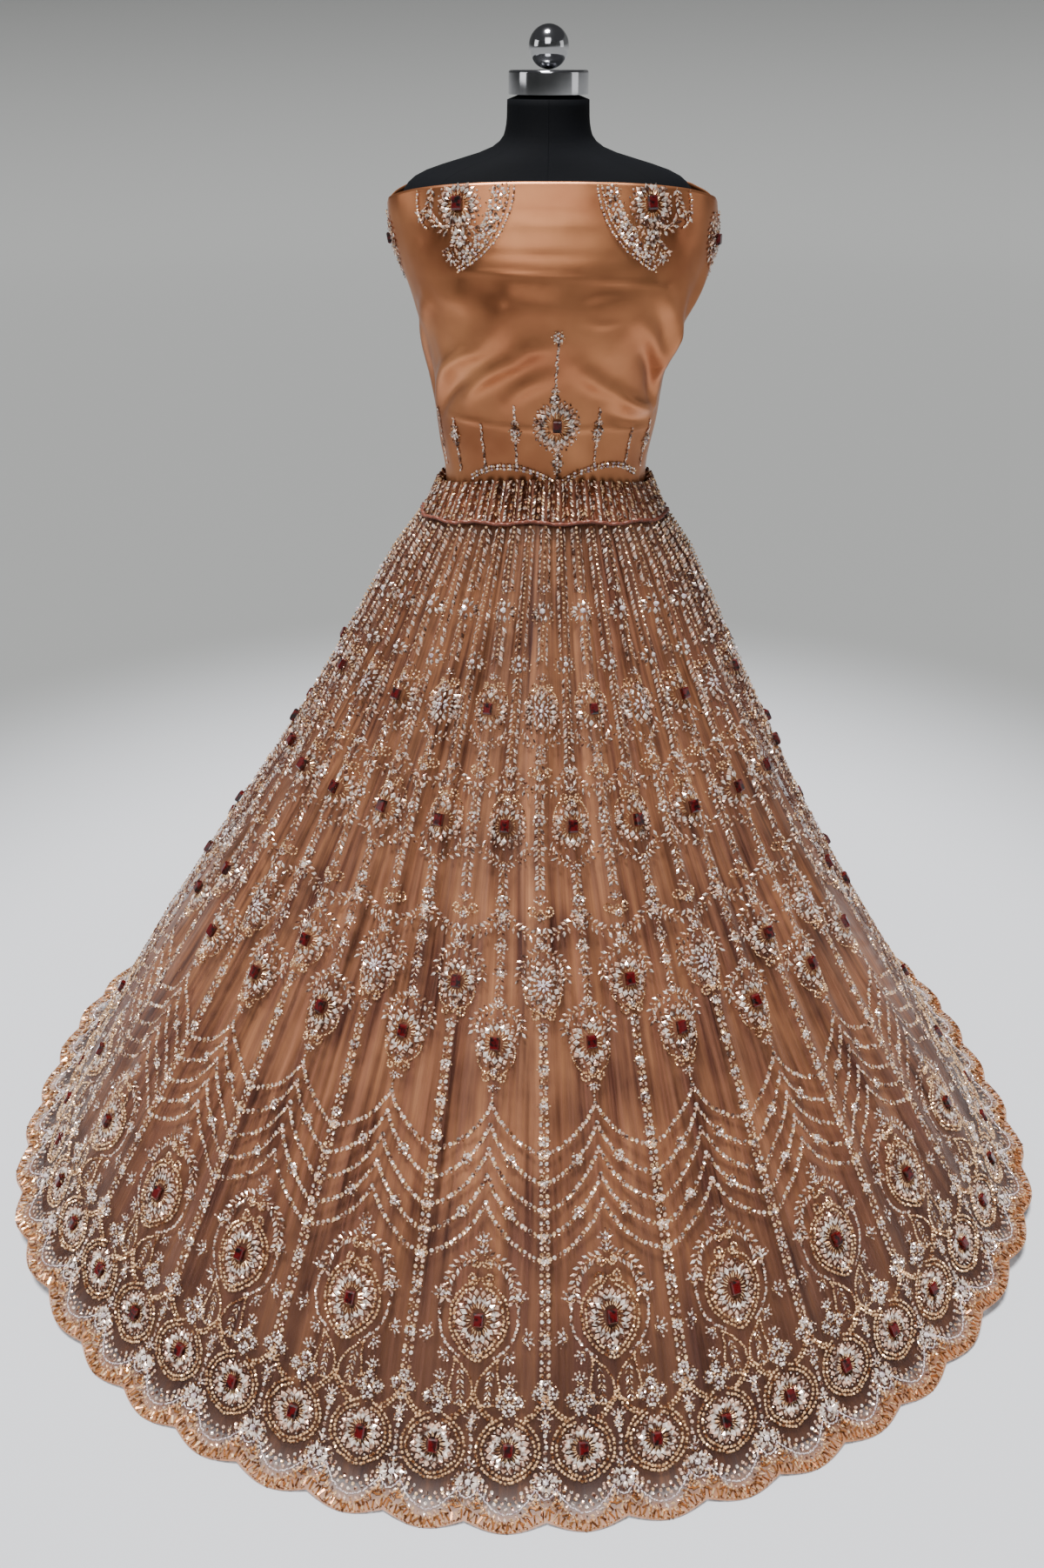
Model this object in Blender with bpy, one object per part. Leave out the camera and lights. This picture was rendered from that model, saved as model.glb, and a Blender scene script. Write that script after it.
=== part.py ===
# Lehenga choli on a limbless dress form.
# Metres, +Z up, the front of the skirt faces -Y. The origin is on the floor under the form's pole.

import math

import bmesh
import bpy
from mathutils import Vector

# Driving dimensions of the skirt.
WAIST_HEIGHT = 1.000
WAIST_HALF_WIDTH = 0.1335
WAIST_HALF_DEPTH = 0.1005
WAIST_SIDE_DIP = 0.023  # how far the waist sits lower at the sides than in front
HEM_CENTRE_X = -0.030  # the skirt is spread a little to the wearer's right
BORDER_WIDTH = 0.053
BORDER_RISE = 0.030  # height of the border's upper edge
BORDER_TOE = 0.018  # how far the border keeps the skirt's slope before it lies down
BORDER_TOE_HEIGHT = 0.0065
HEM_HEIGHT = 0.0026
SPREAD_POWER = 1.14  # above 1 the skirt falls steeply first and spreads lower down
HEM_LIFT = 0.022  # how far the side hem hangs above the floor
HEM_LIFT_FROM = 42  # degrees from the front at which the hem leaves the floor
HEM_LIFT_OVER = 15
PANEL_COUNT = 26
SEAM_CROWDING_DEG = 0.4  # how far the seams lie closer at the diagonals than an even spread
GATHERS_A_PANEL = 2
SCALLOP_DEPTH = 0.010
KNEE = 0.94  # share of the slant length at which the scalloped border starts
YOKE_END = 0.0450  # share of the slant length at which the yoke ends

# Cloth walls and gaps.
NET_WALL = 0.0020
LINING_WALL = 0.0012
CHOLI_WALL = 0.0015
SEAM_GAP = 0.0003
LINING_END = 0.955
LINING_SEAT = 0.0004  # clearance to the net at the waist, where it is sewn in
LINING_CLEARANCE = 0.0012
PIPING_RADIUS = 0.0022
PIPING_WAVE = 0.0015  # share of the slant by which the piping wavers
YOKE_FRILL = 0.0030  # how much higher the yoke stands on each gather

# Stand and form.
POLE_RADIUS = 0.016
BASE_RADIUS = 0.170
BASE_THICKNESS = 0.012
CAP_RADIUS = 0.0444
CAP_BOTTOM = 1.418
CAP_TOP = 1.4425
BALL_RADIUS = 0.0227
FORM_SEGMENTS = 24

# The hem's plan: (degrees from the front, rising to +X; radius).
HEM_PLAN = (
    (-180, 0.710),
    (-150, 0.712),
    (-92, 0.755),
    (-58, 0.795),
    (62, 0.795),
    (95, 0.735),
    (150, 0.712),
    (180, 0.710),
)

# How far the seams lean towards +X as they go down: (share of slant, degrees).
SEAM_LEAN = (
    (0.00, 0.0),
    (0.36, 0.2),
    (0.50, 1.4),
    (0.75, 1.8),
    (1.00, 2.0),
)

# How far the sides stand out from an even cone: (share of slant, at -X, at +X).
SIDE_FULLNESS = (
    (0.000, 0.000, 0.000),
    (0.045, 0.004, 0.005),
    (0.100, 0.013, 0.015),
    (0.160, 0.013, 0.012),
    (0.250, 0.010, 0.006),
    (0.350, 0.009, 0.001),
    (0.450, 0.014, -0.005),
    (0.560, 0.019, -0.006),
    (0.700, 0.020, -0.002),
    (0.850, 0.008, 0.000),
    (0.940, 0.000, 0.000),
    (1.000, 0.000, 0.000),
)

# Half height of the gathers along the slant: (share of slant, amplitude).
GATHER_DEPTHS = (
    (0.000, 0.0030),
    (0.045, 0.0035),
    (0.100, 0.0060),
    (0.200, 0.0080),
    (0.340, 0.0080),
    (0.500, 0.0060),
    (0.650, 0.0040),
    (0.810, 0.0028),
    (0.940, 0.0016),
    (1.000, 0.0008),
)

# Rows of a skirt panel: (share of slant, bead relief on the seam line, bead relief in mid panel).
# The relief stands for the large beaded flowers that sit at that height.
PANEL_ROWS = (
    (0.0455, 0.0000, 0.0000),
    (0.110, 0.0000, 0.0000),
    (0.234, 0.0015, 0.0015),
    (0.348, 0.0015, 0.0015),
    (0.528, 0.0015, 0.0015),
    (0.810, 0.0000, 0.0015),
    (0.918, 0.0000, 0.0000),
    (0.960, 0.0000, 0.0000),
    (1.000, 0.0000, 0.0000),
)
PANEL_COLUMNS = 8

# Sections of the choli: (height, half width to -X, half width to +X, front, back, squareness).
CHOLI_SECTIONS = (
    (1.340, 0.186, 0.192, 0.088, 0.095, 2.5),
    (1.300, 0.189, 0.200, 0.102, 0.104, 2.5),
    (1.256, 0.181, 0.202, 0.114, 0.106, 2.4),
    (1.210, 0.164, 0.194, 0.121, 0.104, 2.3),
    (1.160, 0.150, 0.174, 0.116, 0.098, 2.2),
    (1.110, 0.140, 0.146, 0.104, 0.092, 2.1),
    (1.060, 0.138, 0.140, 0.098, 0.088, 2.0),
    (1.030, 0.134, 0.134, 0.096, 0.091, 2.0),
    (1.000, 0.128, 0.128, 0.095, 0.095, 2.0),
    (0.955, 0.128, 0.128, 0.095, 0.095, 2.0),
)
CHOLI_ROWS = (1.272, 1.244, 1.216, 1.188, 1.160, 1.132, 1.104, 1.076, 1.030, 1.000, 0.955)
CHOLI_TOP_FRONT = 1.334
CHOLI_TOP_SIDE = 1.300
CHOLI_COLUMNS = 24
CLOTH_A_DEGREE = 0.0024  # metres of choli cloth to a degree of turn

# Largest folds of the choli: (degrees and height of one end, of the other end, height of the ridge, half width).
CHOLI_FOLDS = (
    (-82, 1.076, -46, 1.188, 0.0060, 0.015),
    (-88, 1.104, -66, 1.216, 0.0060, 0.014),
    (-70, 1.068, -24, 1.132, 0.0045, 0.014),
    (84, 1.076, 50, 1.188, 0.0060, 0.015),
    (88, 1.104, 74, 1.216, 0.0070, 0.014),
    (70, 1.068, 32, 1.132, 0.0045, 0.014),
    (104, 1.076, 124, 1.200, 0.0060, 0.015),
    (-106, 1.076, -126, 1.188, 0.0060, 0.015),
    (-146, 1.070, -166, 1.180, 0.0050, 0.015),
    (146, 1.070, 162, 1.188, 0.0050, 0.015),
)

# Sections of the dress form: (height, half width, front, back, squareness).
FORM_SECTIONS = (
    (1.4177, 0.0470, 0.0470, 0.0470, 2.0),
    (1.376, 0.0490, 0.0490, 0.0500, 2.0),
    (1.364, 0.0600, 0.0540, 0.0580, 2.0),
    (1.350, 0.1000, 0.0600, 0.0680, 2.1),
    (1.336, 0.1400, 0.0680, 0.0780, 2.3),
    (1.320, 0.1670, 0.0780, 0.0860, 2.5),
    (1.296, 0.1730, 0.0900, 0.0920, 2.5),
    (1.250, 0.1610, 0.1060, 0.0960, 2.3),
    (1.205, 0.1480, 0.1150, 0.0960, 2.2),
    (1.150, 0.1360, 0.1060, 0.0920, 2.1),
    (1.090, 0.1260, 0.0940, 0.0840, 2.0),
    (1.030, 0.1240, 0.0900, 0.0860, 2.0),
    (1.000, 0.1261, 0.0931, 0.0931, 2.0),
    (0.955, 0.1261, 0.0931, 0.0931, 2.0),
    (0.920, 0.1340, 0.0980, 0.1010, 2.1),
    (0.860, 0.1560, 0.1160, 0.1220, 2.2),
    (0.800, 0.1640, 0.1220, 0.1300, 2.2),
    (0.768, 0.1560, 0.1150, 0.1220, 2.2),
    (0.760, 0.1300, 0.0950, 0.1000, 2.1),
)


def clear_scene():
    for thing in list(bpy.data.objects):
        bpy.data.objects.remove(thing)


def finish(name, colour, roughness, metallic=0.0):
    made = bpy.data.materials.new(name)
    made.use_nodes = True
    shader = made.node_tree.nodes["Principled BSDF"]
    shader.inputs["Base Color"].default_value = (*colour, 1.0)
    shader.inputs["Roughness"].default_value = roughness
    shader.inputs["Metallic"].default_value = metallic
    return made


def piece(name, shape, material, smooth=True):
    mesh = bpy.data.meshes.new(name)
    bmesh.ops.recalc_face_normals(shape, faces=shape.faces)
    shape.to_mesh(mesh)
    shape.free()
    mesh.materials.append(material)
    if smooth:
        mesh.shade_smooth()
        mesh.set_sharp_from_angle(angle=math.radians(35))
    made = bpy.data.objects.new(name, mesh)
    bpy.context.scene.collection.objects.link(made)
    return made


def eased(share):
    share = min(1.0, max(0.0, share))
    return share * share * (3.0 - 2.0 * share)


def from_table(rows, at, column):
    """The value in this column, read along the table's first column, which may rise or fall."""
    step = 1 if rows[-1][0] > rows[0][0] else -1
    for first, second in zip(rows, rows[1:]):
        if step * at <= step * second[0]:
            share = (at - first[0]) / (second[0] - first[0])
            return first[column] + (second[column] - first[column]) * min(1.0, max(0.0, share))
    return rows[-1][column]


def hem_radius(turn):
    """The hem's plan: round in front, drawn in at the sides and the back. turn is in degrees from the front."""
    for (turn_a, radius_a), (turn_b, radius_b) in zip(HEM_PLAN, HEM_PLAN[1:]):
        if turn <= turn_b:
            return radius_a + (radius_b - radius_a) * eased((turn - turn_a) / (turn_b - turn_a))
    return HEM_PLAN[-1][1]


def skirt_base(turn, slant):
    """A point of the skirt without its gathers, at this turn in degrees and this share of the slant."""
    turn = (turn + 180.0) % 360.0 - 180.0
    across = math.sin(math.radians(turn))
    along = math.cos(math.radians(turn))
    rim = hem_radius(turn)
    knee = rim - BORDER_WIDTH
    if slant <= KNEE:
        share = slant / KNEE
        spread = share ** SPREAD_POWER
        half_width = WAIST_HALF_WIDTH + (knee - WAIST_HALF_WIDTH) * spread
        half_depth = WAIST_HALF_DEPTH + (knee - WAIST_HALF_DEPTH) * spread
        height = WAIST_HEIGHT + (BORDER_RISE - WAIST_HEIGHT) * share
    else:
        share = (slant - KNEE) / (1.0 - KNEE)
        bend = 2.0 * share * (1.0 - share)
        start = (1.0 - share) ** 2
        half_width = knee * start + (knee + BORDER_TOE) * bend + rim * share ** 2
        half_depth = half_width
        height = BORDER_RISE * start + BORDER_TOE_HEIGHT * bend + HEM_HEIGHT * share ** 2
    half_width += from_table(SIDE_FULLNESS, slant, 2 if across > 0 else 1) * across ** 2
    height -= WAIST_SIDE_DIP * across ** 2 * (1.0 - slant) ** 4
    lift = HEM_LIFT * eased((abs(turn) - HEM_LIFT_FROM) / HEM_LIFT_OVER) * slant ** 4
    return Vector((HEM_CENTRE_X * slant + half_width * across, -half_depth * along, height + lift))


def skirt_outward(turn, slant):
    """The direction that leaves the skirt's base at this point."""
    across = skirt_base(turn + 0.2, slant) - skirt_base(turn - 0.2, slant)
    down = skirt_base(turn, min(1.0, slant + 0.002)) - skirt_base(turn, max(0.0, slant - 0.002))
    return down.cross(across).normalized()


def seam_turn(number, slant):
    """Where this seam lies at this share of the slant, in degrees."""
    even = 360.0 * number / PANEL_COUNT
    return even + from_table(SEAM_LEAN, slant, 1) - SEAM_CROWDING_DEG * math.sin(math.radians(2 * even))


def gather(panels, slant):
    """How far the gathers stand out at this place, counted in panels from the first seam."""
    depth = from_table(GATHER_DEPTHS, slant, 1)
    return depth * math.cos(2.0 * math.pi * GATHERS_A_PANEL * panels)


def skirt_point(panels, slant, out=0.0, shift=0.0):
    """A point of the gathered skirt, moved out by out, and sideways by shift metres."""
    turn = seam_turn(panels, slant)
    reach = max(0.05, skirt_base(turn, slant).xy.length)
    turn += math.degrees(shift / reach)
    place = skirt_base(turn, slant)
    place += skirt_outward(turn, slant) * (gather(panels, slant) + out)
    place.z = max(0.0, place.z)
    return place


def wall(name, outer, inner, columns, rows, material):
    """A closed wall between two grids of points, outer(column, row) and inner(column, row)."""
    shape = bmesh.new()
    front = [[shape.verts.new(outer(c, r)) for c in range(columns + 1)] for r in range(rows + 1)]
    back = [[shape.verts.new(inner(c, r)) for c in range(columns + 1)] for r in range(rows + 1)]
    for r in range(rows):
        for c in range(columns):
            shape.faces.new((front[r][c], front[r + 1][c], front[r + 1][c + 1], front[r][c + 1]))
            shape.faces.new((back[r][c], back[r][c + 1], back[r + 1][c + 1], back[r + 1][c]))
    for c in range(columns):
        shape.faces.new((front[0][c], front[0][c + 1], back[0][c + 1], back[0][c]))
        shape.faces.new((front[rows][c], back[rows][c], back[rows][c + 1], front[rows][c + 1]))
    for r in range(rows):
        shape.faces.new((front[r][0], back[r][0], back[r + 1][0], front[r + 1][0]))
        shape.faces.new((front[r][columns], front[r + 1][columns], back[r + 1][columns], back[r][columns]))
    return piece(name, shape, material)


def tube_wall(name, outer, inner, columns, rows, material):
    """A closed wall that goes all the way round, open at its top and its bottom."""
    shape = bmesh.new()
    front = [[shape.verts.new(outer(c, r)) for c in range(columns)] for r in range(rows + 1)]
    back = [[shape.verts.new(inner(c, r)) for c in range(columns)] for r in range(rows + 1)]
    for c in range(columns):
        n = (c + 1) % columns
        for r in range(rows):
            shape.faces.new((front[r][c], front[r + 1][c], front[r + 1][n], front[r][n]))
            shape.faces.new((back[r][c], back[r][n], back[r + 1][n], back[r + 1][c]))
        shape.faces.new((front[0][c], front[0][n], back[0][n], back[0][c]))
        shape.faces.new((front[rows][c], back[rows][c], back[rows][n], front[rows][n]))
    return piece(name, shape, material)


def panel(number, material):
    """One skirt panel, between the seam of this number and the next, with its scalloped edge."""

    def place(column, row, out):
        share = column / PANEL_COLUMNS
        slant, seam_relief, middle_relief = PANEL_ROWS[row]
        if row == len(PANEL_ROWS) - 1:
            slant -= SCALLOP_DEPTH * (1.0 - abs(math.sin(2.0 * math.pi * share)))
        relief = 0.0
        if out == 0.0:
            relief = {0: seam_relief, 4: middle_relief, 8: seam_relief}.get(column, 0.0)
        shift = {0: SEAM_GAP / 2, PANEL_COLUMNS: -SEAM_GAP / 2}.get(column, 0.0)
        return skirt_point(number + share, slant, out + relief, shift)

    return wall(
        f"kali_{number + 1:02d}",
        lambda c, r: place(c, r, 0.0),
        lambda c, r: place(c, r, -NET_WALL),
        PANEL_COLUMNS,
        len(PANEL_ROWS) - 1,
        material,
    )


def yoke(name, first_turn, material):
    """Half of the gathered waist yoke. It stands a little higher on each gather."""
    gathers = PANEL_COUNT * GATHERS_A_PANEL
    columns = gathers
    rows = (0.000, YOKE_END / 2, YOKE_END)

    def place(column, row, out):
        panels = first_turn + (PANEL_COUNT / 2) * column / columns
        shift = {0: SEAM_GAP / 2, columns: -SEAM_GAP / 2}.get(column, 0.0)
        point = skirt_point(panels, rows[row], out, shift)
        if row == 0:
            point.z += YOKE_FRILL * math.cos(2.0 * math.pi * GATHERS_A_PANEL * panels)
        return point

    return wall(
        name,
        lambda c, r: place(c, r, 0.0),
        lambda c, r: place(c, r, -NET_WALL),
        columns,
        len(rows) - 1,
        material,
    )


def lining(material):
    """The satin skirt under the net: it just clears the net's valleys."""
    rows = (0.050, 0.110, 0.234, 0.348, 0.528, 0.810, 0.918, LINING_END)
    columns = PANEL_COUNT * 2

    def place(column, row, depth):
        slant = rows[row]
        panels = column / 2
        turn = seam_turn(panels, slant)
        clear = LINING_SEAT if row == 0 else LINING_CLEARANCE
        under = from_table(GATHER_DEPTHS, slant, 1) + NET_WALL + clear + depth
        return skirt_base(turn, slant) - skirt_outward(turn, slant) * under

    return tube_wall(
        "lining",
        lambda c, r: place(c, r, 0.0),
        lambda c, r: place(c, r, LINING_WALL),
        columns,
        len(rows) - 1,
        material,
    )


def piping(material):
    """The corded piping over the seam between yoke and panels, resting on the gathers' ridges."""
    route = bpy.data.curves.new("waist_piping", "CURVE")
    route.dimensions = "3D"
    line = route.splines.new("POLY")
    count = PANEL_COUNT * GATHERS_A_PANEL
    line.points.add(count - 1)
    for number, point in enumerate(line.points):
        panels = number / GATHERS_A_PANEL
        slant = YOKE_END + PIPING_WAVE * math.sin(2.0 * math.pi * number / 4)
        place = skirt_point(panels, slant, PIPING_RADIUS + 2 * SEAM_GAP)
        point.co = (*place, 1.0)
    line.use_cyclic_u = True
    route.bevel_depth = PIPING_RADIUS
    route.bevel_resolution = 1
    route.materials.append(material)
    made = bpy.data.objects.new("waist_piping", route)
    bpy.context.scene.collection.objects.link(made)
    return made


def section_point(turn, height, half_width, front, back, squareness):
    """A point of a rounded section. turn is in degrees from the front, and rises towards +X."""
    across = math.sin(math.radians(turn))
    along = math.cos(math.radians(turn))
    power = 2.0 / squareness
    x = half_width * math.copysign(abs(across) ** power, across)
    y = (front if along > 0 else back) * math.copysign(abs(along) ** power, along)
    return Vector((x, -y, height))


def fold_height(turn, height):
    """How far the choli's folds stand out here."""
    total = 0.0
    for turn_a, height_a, turn_b, height_b, ridge, half_width in CHOLI_FOLDS:
        along = Vector(((turn_b - turn_a) * CLOTH_A_DEGREE, height_b - height_a))
        here = Vector(((turn - turn_a) * CLOTH_A_DEGREE, height - height_a))
        share = min(1.0, max(0.0, here.dot(along) / along.length_squared))
        away = (here - along * share).length
        total += ridge * math.exp(-((away / half_width) ** 2)) * (0.35 + 0.65 * math.sin(math.pi * share))
    return total


def choli_point(turn, height, out, gap_side=0.0):
    values = [from_table(CHOLI_SECTIONS, height, column) for column in range(1, 6)]
    left, right, front, back, squareness = values
    half_width = right if math.sin(math.radians(turn)) > 0 else left
    bulge = fold_height((turn + 180) % 360 - 180, height)
    grow = 1.0 + (out + bulge) / half_width
    place = section_point(turn, height, half_width * grow, front + out + bulge, back + out + bulge, squareness)
    place.y += gap_side
    return place


def choli(name, first_turn, gap_side, material):
    """Half of the wrapped blouse length, from side to side."""

    def place(column, row, out):
        turn = first_turn + 180.0 * column / CHOLI_COLUMNS
        edge = gap_side if column in (0, CHOLI_COLUMNS) else 0.0
        if row == 0:
            rise = abs(math.cos(math.radians(turn))) ** 0.7
            height = CHOLI_TOP_SIDE + (CHOLI_TOP_FRONT - CHOLI_TOP_SIDE) * rise
        else:
            height = CHOLI_ROWS[row - 1]
        return choli_point(turn, height, out, edge)

    return wall(
        name,
        lambda c, r: place(c, r, 0.0),
        lambda c, r: place(c, r, -CHOLI_WALL),
        CHOLI_COLUMNS,
        len(CHOLI_ROWS),
        material,
    )


def dress_form(material):
    """The padded body, drawn up ring by ring from its neck to its hip."""
    shape = bmesh.new()
    bmesh.ops.create_circle(shape, cap_ends=True, segments=FORM_SEGMENTS, radius=1.0)
    shape.verts.ensure_lookup_table()
    ring = list(shape.verts)
    edges = list(shape.edges)

    def settle(points, section):
        height, half_width, front, back, squareness = section
        for number, point in enumerate(points):
            turn = 360.0 * number / FORM_SEGMENTS
            point.co = section_point(turn, height, half_width, front, back, squareness)

    settle(ring, FORM_SECTIONS[0])
    for section in FORM_SECTIONS[1:]:
        new = bmesh.ops.extrude_edge_only(shape, edges=edges)["geom"]
        made = [item for item in new if isinstance(item, bmesh.types.BMVert)]
        edges = [item for item in new if isinstance(item, bmesh.types.BMEdge)]
        edges = [edge for edge in edges if all(vert in made for vert in edge.verts)]
        ordered = []
        for old in ring:
            ordered.append(next(e.other_vert(old) for e in old.link_edges if e.other_vert(old) in made))
        ring = ordered
        settle(ring, section)
    shape.faces.new(ring)
    return piece("dress_form", shape, material)


def turned(name, profile, segments, material):
    """A round piece, spun from (radius, height) points that run from its bottom centre to its top centre."""
    shape = bmesh.new()
    points = [shape.verts.new((radius, 0.0, height)) for radius, height in profile]
    edges = [shape.edges.new(pair) for pair in zip(points, points[1:])]
    bmesh.ops.spin(
        shape,
        geom=points + edges,
        cent=(0.0, 0.0, 0.0),
        axis=(0.0, 0.0, 1.0),
        angle=2.0 * math.pi,
        steps=segments,
        use_merge=True,
    )
    bmesh.ops.remove_doubles(shape, verts=shape.verts, dist=0.00001)
    return piece(name, shape, material)


def ball_profile(centre, radius, steps):
    turns = [math.pi * (step / steps - 0.5) for step in range(steps + 1)]
    return [(max(0.0, radius * math.cos(turn)), centre + radius * math.sin(turn)) for turn in turns]


def build_stand():
    black = finish("form_fabric", (0.012, 0.014, 0.018), 0.75)
    chrome = finish("chrome", (0.78, 0.78, 0.80), 0.12, 1.0)
    steel = finish("stand_paint", (0.05, 0.05, 0.055), 0.40)
    dress_form(black)
    turned(
        "neck_cap",
        (
            (0.0, CAP_BOTTOM),
            (CAP_RADIUS + 0.001, CAP_BOTTOM),
            (CAP_RADIUS + 0.001, CAP_TOP - 0.003),
            (CAP_RADIUS - 0.002, CAP_TOP),
            (0.0, CAP_TOP),
        ),
        24,
        chrome,
    )
    turned("neck_ball", ball_profile(CAP_TOP + 0.0003 + BALL_RADIUS, BALL_RADIUS, 8), 16, chrome)
    form_bottom = FORM_SECTIONS[-1][0]
    turned(
        "stand_pole",
        (
            (0.0, BASE_THICKNESS + SEAM_GAP),
            (POLE_RADIUS, BASE_THICKNESS + SEAM_GAP),
            (POLE_RADIUS, form_bottom - SEAM_GAP),
            (0.0, form_bottom - SEAM_GAP),
        ),
        12,
        steel,
    )
    turned(
        "stand_base",
        (
            (0.0, 0.0),
            (BASE_RADIUS, 0.0),
            (BASE_RADIUS, 0.007),
            (BASE_RADIUS - 0.012, BASE_THICKNESS),
            (0.0, BASE_THICKNESS),
        ),
        32,
        steel,
    )


def build_garment():
    satin = finish("satin", (0.50, 0.27, 0.15), 0.38)
    net = finish("embroidered_net", (0.48, 0.25, 0.14), 0.50)
    cord = finish("piping_cord", (0.42, 0.17, 0.11), 0.45)
    choli("choli_front", -90.0, -SEAM_GAP / 2, satin)
    choli("choli_back", 90.0, SEAM_GAP / 2, satin)
    yoke("yoke_front", -PANEL_COUNT / 4, net)
    yoke("yoke_back", PANEL_COUNT / 4, net)
    piping(cord)
    lining(satin)
    for number in range(PANEL_COUNT):
        panel(number, net)


clear_scene()
build_stand()
build_garment()
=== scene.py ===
# Beaded lehenga choli on a limbless dress form, in metres, +Z up, the front towards -Y.

import math

import bmesh
import bpy
import numpy as np
from mathutils import Matrix, Vector


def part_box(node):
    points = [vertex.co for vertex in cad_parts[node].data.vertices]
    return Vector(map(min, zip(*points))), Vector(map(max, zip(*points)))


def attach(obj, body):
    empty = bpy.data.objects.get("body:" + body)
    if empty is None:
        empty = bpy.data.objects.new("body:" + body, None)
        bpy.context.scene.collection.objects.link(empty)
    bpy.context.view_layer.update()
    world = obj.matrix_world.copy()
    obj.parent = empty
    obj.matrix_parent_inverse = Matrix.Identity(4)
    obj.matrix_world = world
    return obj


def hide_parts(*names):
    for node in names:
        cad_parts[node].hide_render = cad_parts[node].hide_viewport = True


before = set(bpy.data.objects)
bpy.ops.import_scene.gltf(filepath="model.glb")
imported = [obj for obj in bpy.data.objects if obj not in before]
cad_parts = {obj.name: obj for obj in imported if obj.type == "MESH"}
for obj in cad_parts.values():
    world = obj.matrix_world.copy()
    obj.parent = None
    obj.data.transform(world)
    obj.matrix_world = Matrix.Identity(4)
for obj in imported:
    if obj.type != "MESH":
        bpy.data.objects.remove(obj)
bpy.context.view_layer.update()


# Dress form: a padded body of papier mache covered in black matt jersey, sewn in panels
# whose princess seams run down from the shoulders. It carries the whole garment.

class Link:
    """A shader socket. Arithmetic on it adds Math nodes, so shader maths reads as an expression."""

    def __init__(self, socket):
        self.socket = socket
        self.tree = socket.id_data

    def node(self, kind, settings=None, values=None, out=0):
        """Any node of this material. Its settings come first, then the values or links of its sockets."""
        made = self.tree.nodes.new(kind)
        for name, value in (settings or {}).items():
            setattr(made, name, value)
        for name, value in (values or {}).items():
            if isinstance(value, Link):
                self.tree.links.new(value.socket, made.inputs[name])
            else:
                made.inputs[name].default_value = value
        return Link(made.outputs[out])

    def maths(self, operation, *values):
        return self.node("ShaderNodeMath", {"operation": operation}, dict(enumerate(values)))

    def __add__(self, other):
        return self.maths("ADD", self, other)

    def __mul__(self, other):
        return self.maths("MULTIPLY", self, other)

    __radd__ = __add__
    __rmul__ = __mul__

    def mixed(self, first, second):
        """A colour between two, where this value is 0 and where it is 1."""
        mix = {"data_type": "RGBA"}
        return self.node("ShaderNodeMix", mix, {"Factor": self, 6: first, 7: second}, out=2)

    def noise(self, scale, detail, stretch=(1.0, 1.0, 1.0)):
        """Soft noise over this vector, stretched along its axes."""
        spread = self.node("ShaderNodeMapping", None, {"Vector": self, "Scale": stretch})
        return self.node("ShaderNodeTexNoise", None, {"Vector": spread, "Scale": scale, "Detail": detail})

    def feeds(self, *sockets):
        for socket in sockets:
            self.tree.links.new(self.socket, socket)


def colour(red, green, blue):
    """A linear colour from its 0 to 255 screen values."""
    return tuple((part / 255.0) ** 2.2 for part in (red, green, blue)) + (1.0,)


def material(name, base, roughness, metallic=0.0, constants=None):
    """A Principled material, its sockets, and where its Object and UV coordinates start."""
    made = bpy.data.materials.new(name)
    made.use_nodes = True
    shader = made.node_tree.nodes["Principled BSDF"]
    shader.inputs["Base Color"].default_value = base
    shader.inputs["Roughness"].default_value = roughness
    shader.inputs["Metallic"].default_value = metallic
    for socket, value in (constants or {}).items():
        shader.inputs[socket].default_value = value
    place = made.node_tree.nodes.new("ShaderNodeTexCoord")
    return made, shader.inputs, Link(place.outputs["Object"]), Link(place.outputs["UV"])


def bumped(height, sockets, distance, strength=1.0):
    """Feeds this height, 0 to 1, to the shader's Normal as relief of this depth in metres."""
    relief = {"Height": height, "Distance": distance, "Strength": strength}
    height.node("ShaderNodeBump", None, relief).feeds(sockets["Normal"])


def finished(name, mesh, materials, replaced=()):
    """The piece at the origin, on the one body, standing for its CAD nodes."""
    for made in materials:
        mesh.materials.append(made)
    piece = bpy.data.objects.new(name, mesh)
    bpy.context.scene.collection.objects.link(piece)
    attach(piece, "root")
    if replaced:
        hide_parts(*replaced)
    return piece


def from_table(rows, at, column=1):
    """This column of a table, read along its first one."""
    table = np.array(sorted(rows))
    return np.interp(at, table[:, 0], table[:, column])


def softened(rows, at, column, reach):
    """The same, with the table's corners rounded off over this reach."""
    steps = (-1.0, -0.5, 0.0, 0.5, 1.0)
    return sum(from_table(rows, at + reach * step, column) for step in steps) / len(steps)


def cloth(name, columns, rows, place):
    """An even grid laid round a surface: place takes shares across and down, and gives points.
    The shares stay as its UV map, and its two sides are joined where they meet."""
    shape = bmesh.new()
    shape.loops.layers.uv.new("UVMap")
    bmesh.ops.create_grid(shape, x_segments=columns, y_segments=rows, size=0.5, calc_uvs=True)
    mesh = bpy.data.meshes.new(name)
    shape.to_mesh(mesh)
    shape.free()
    flat = np.empty(len(mesh.vertices) * 3, np.float32)
    mesh.vertices.foreach_get("co", flat)
    across, up, _ = flat.reshape(-1, 3).astype(float).T + 0.5
    mesh.vertices.foreach_set("co", place(across, 1.0 - up).astype(np.float32).ravel())
    mesh.update()
    shape = bmesh.new()
    shape.from_mesh(mesh)
    bmesh.ops.remove_doubles(shape, verts=shape.verts, dist=0.000005)
    shape.to_mesh(mesh)
    shape.free()
    mesh.shade_smooth()
    return mesh


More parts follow.
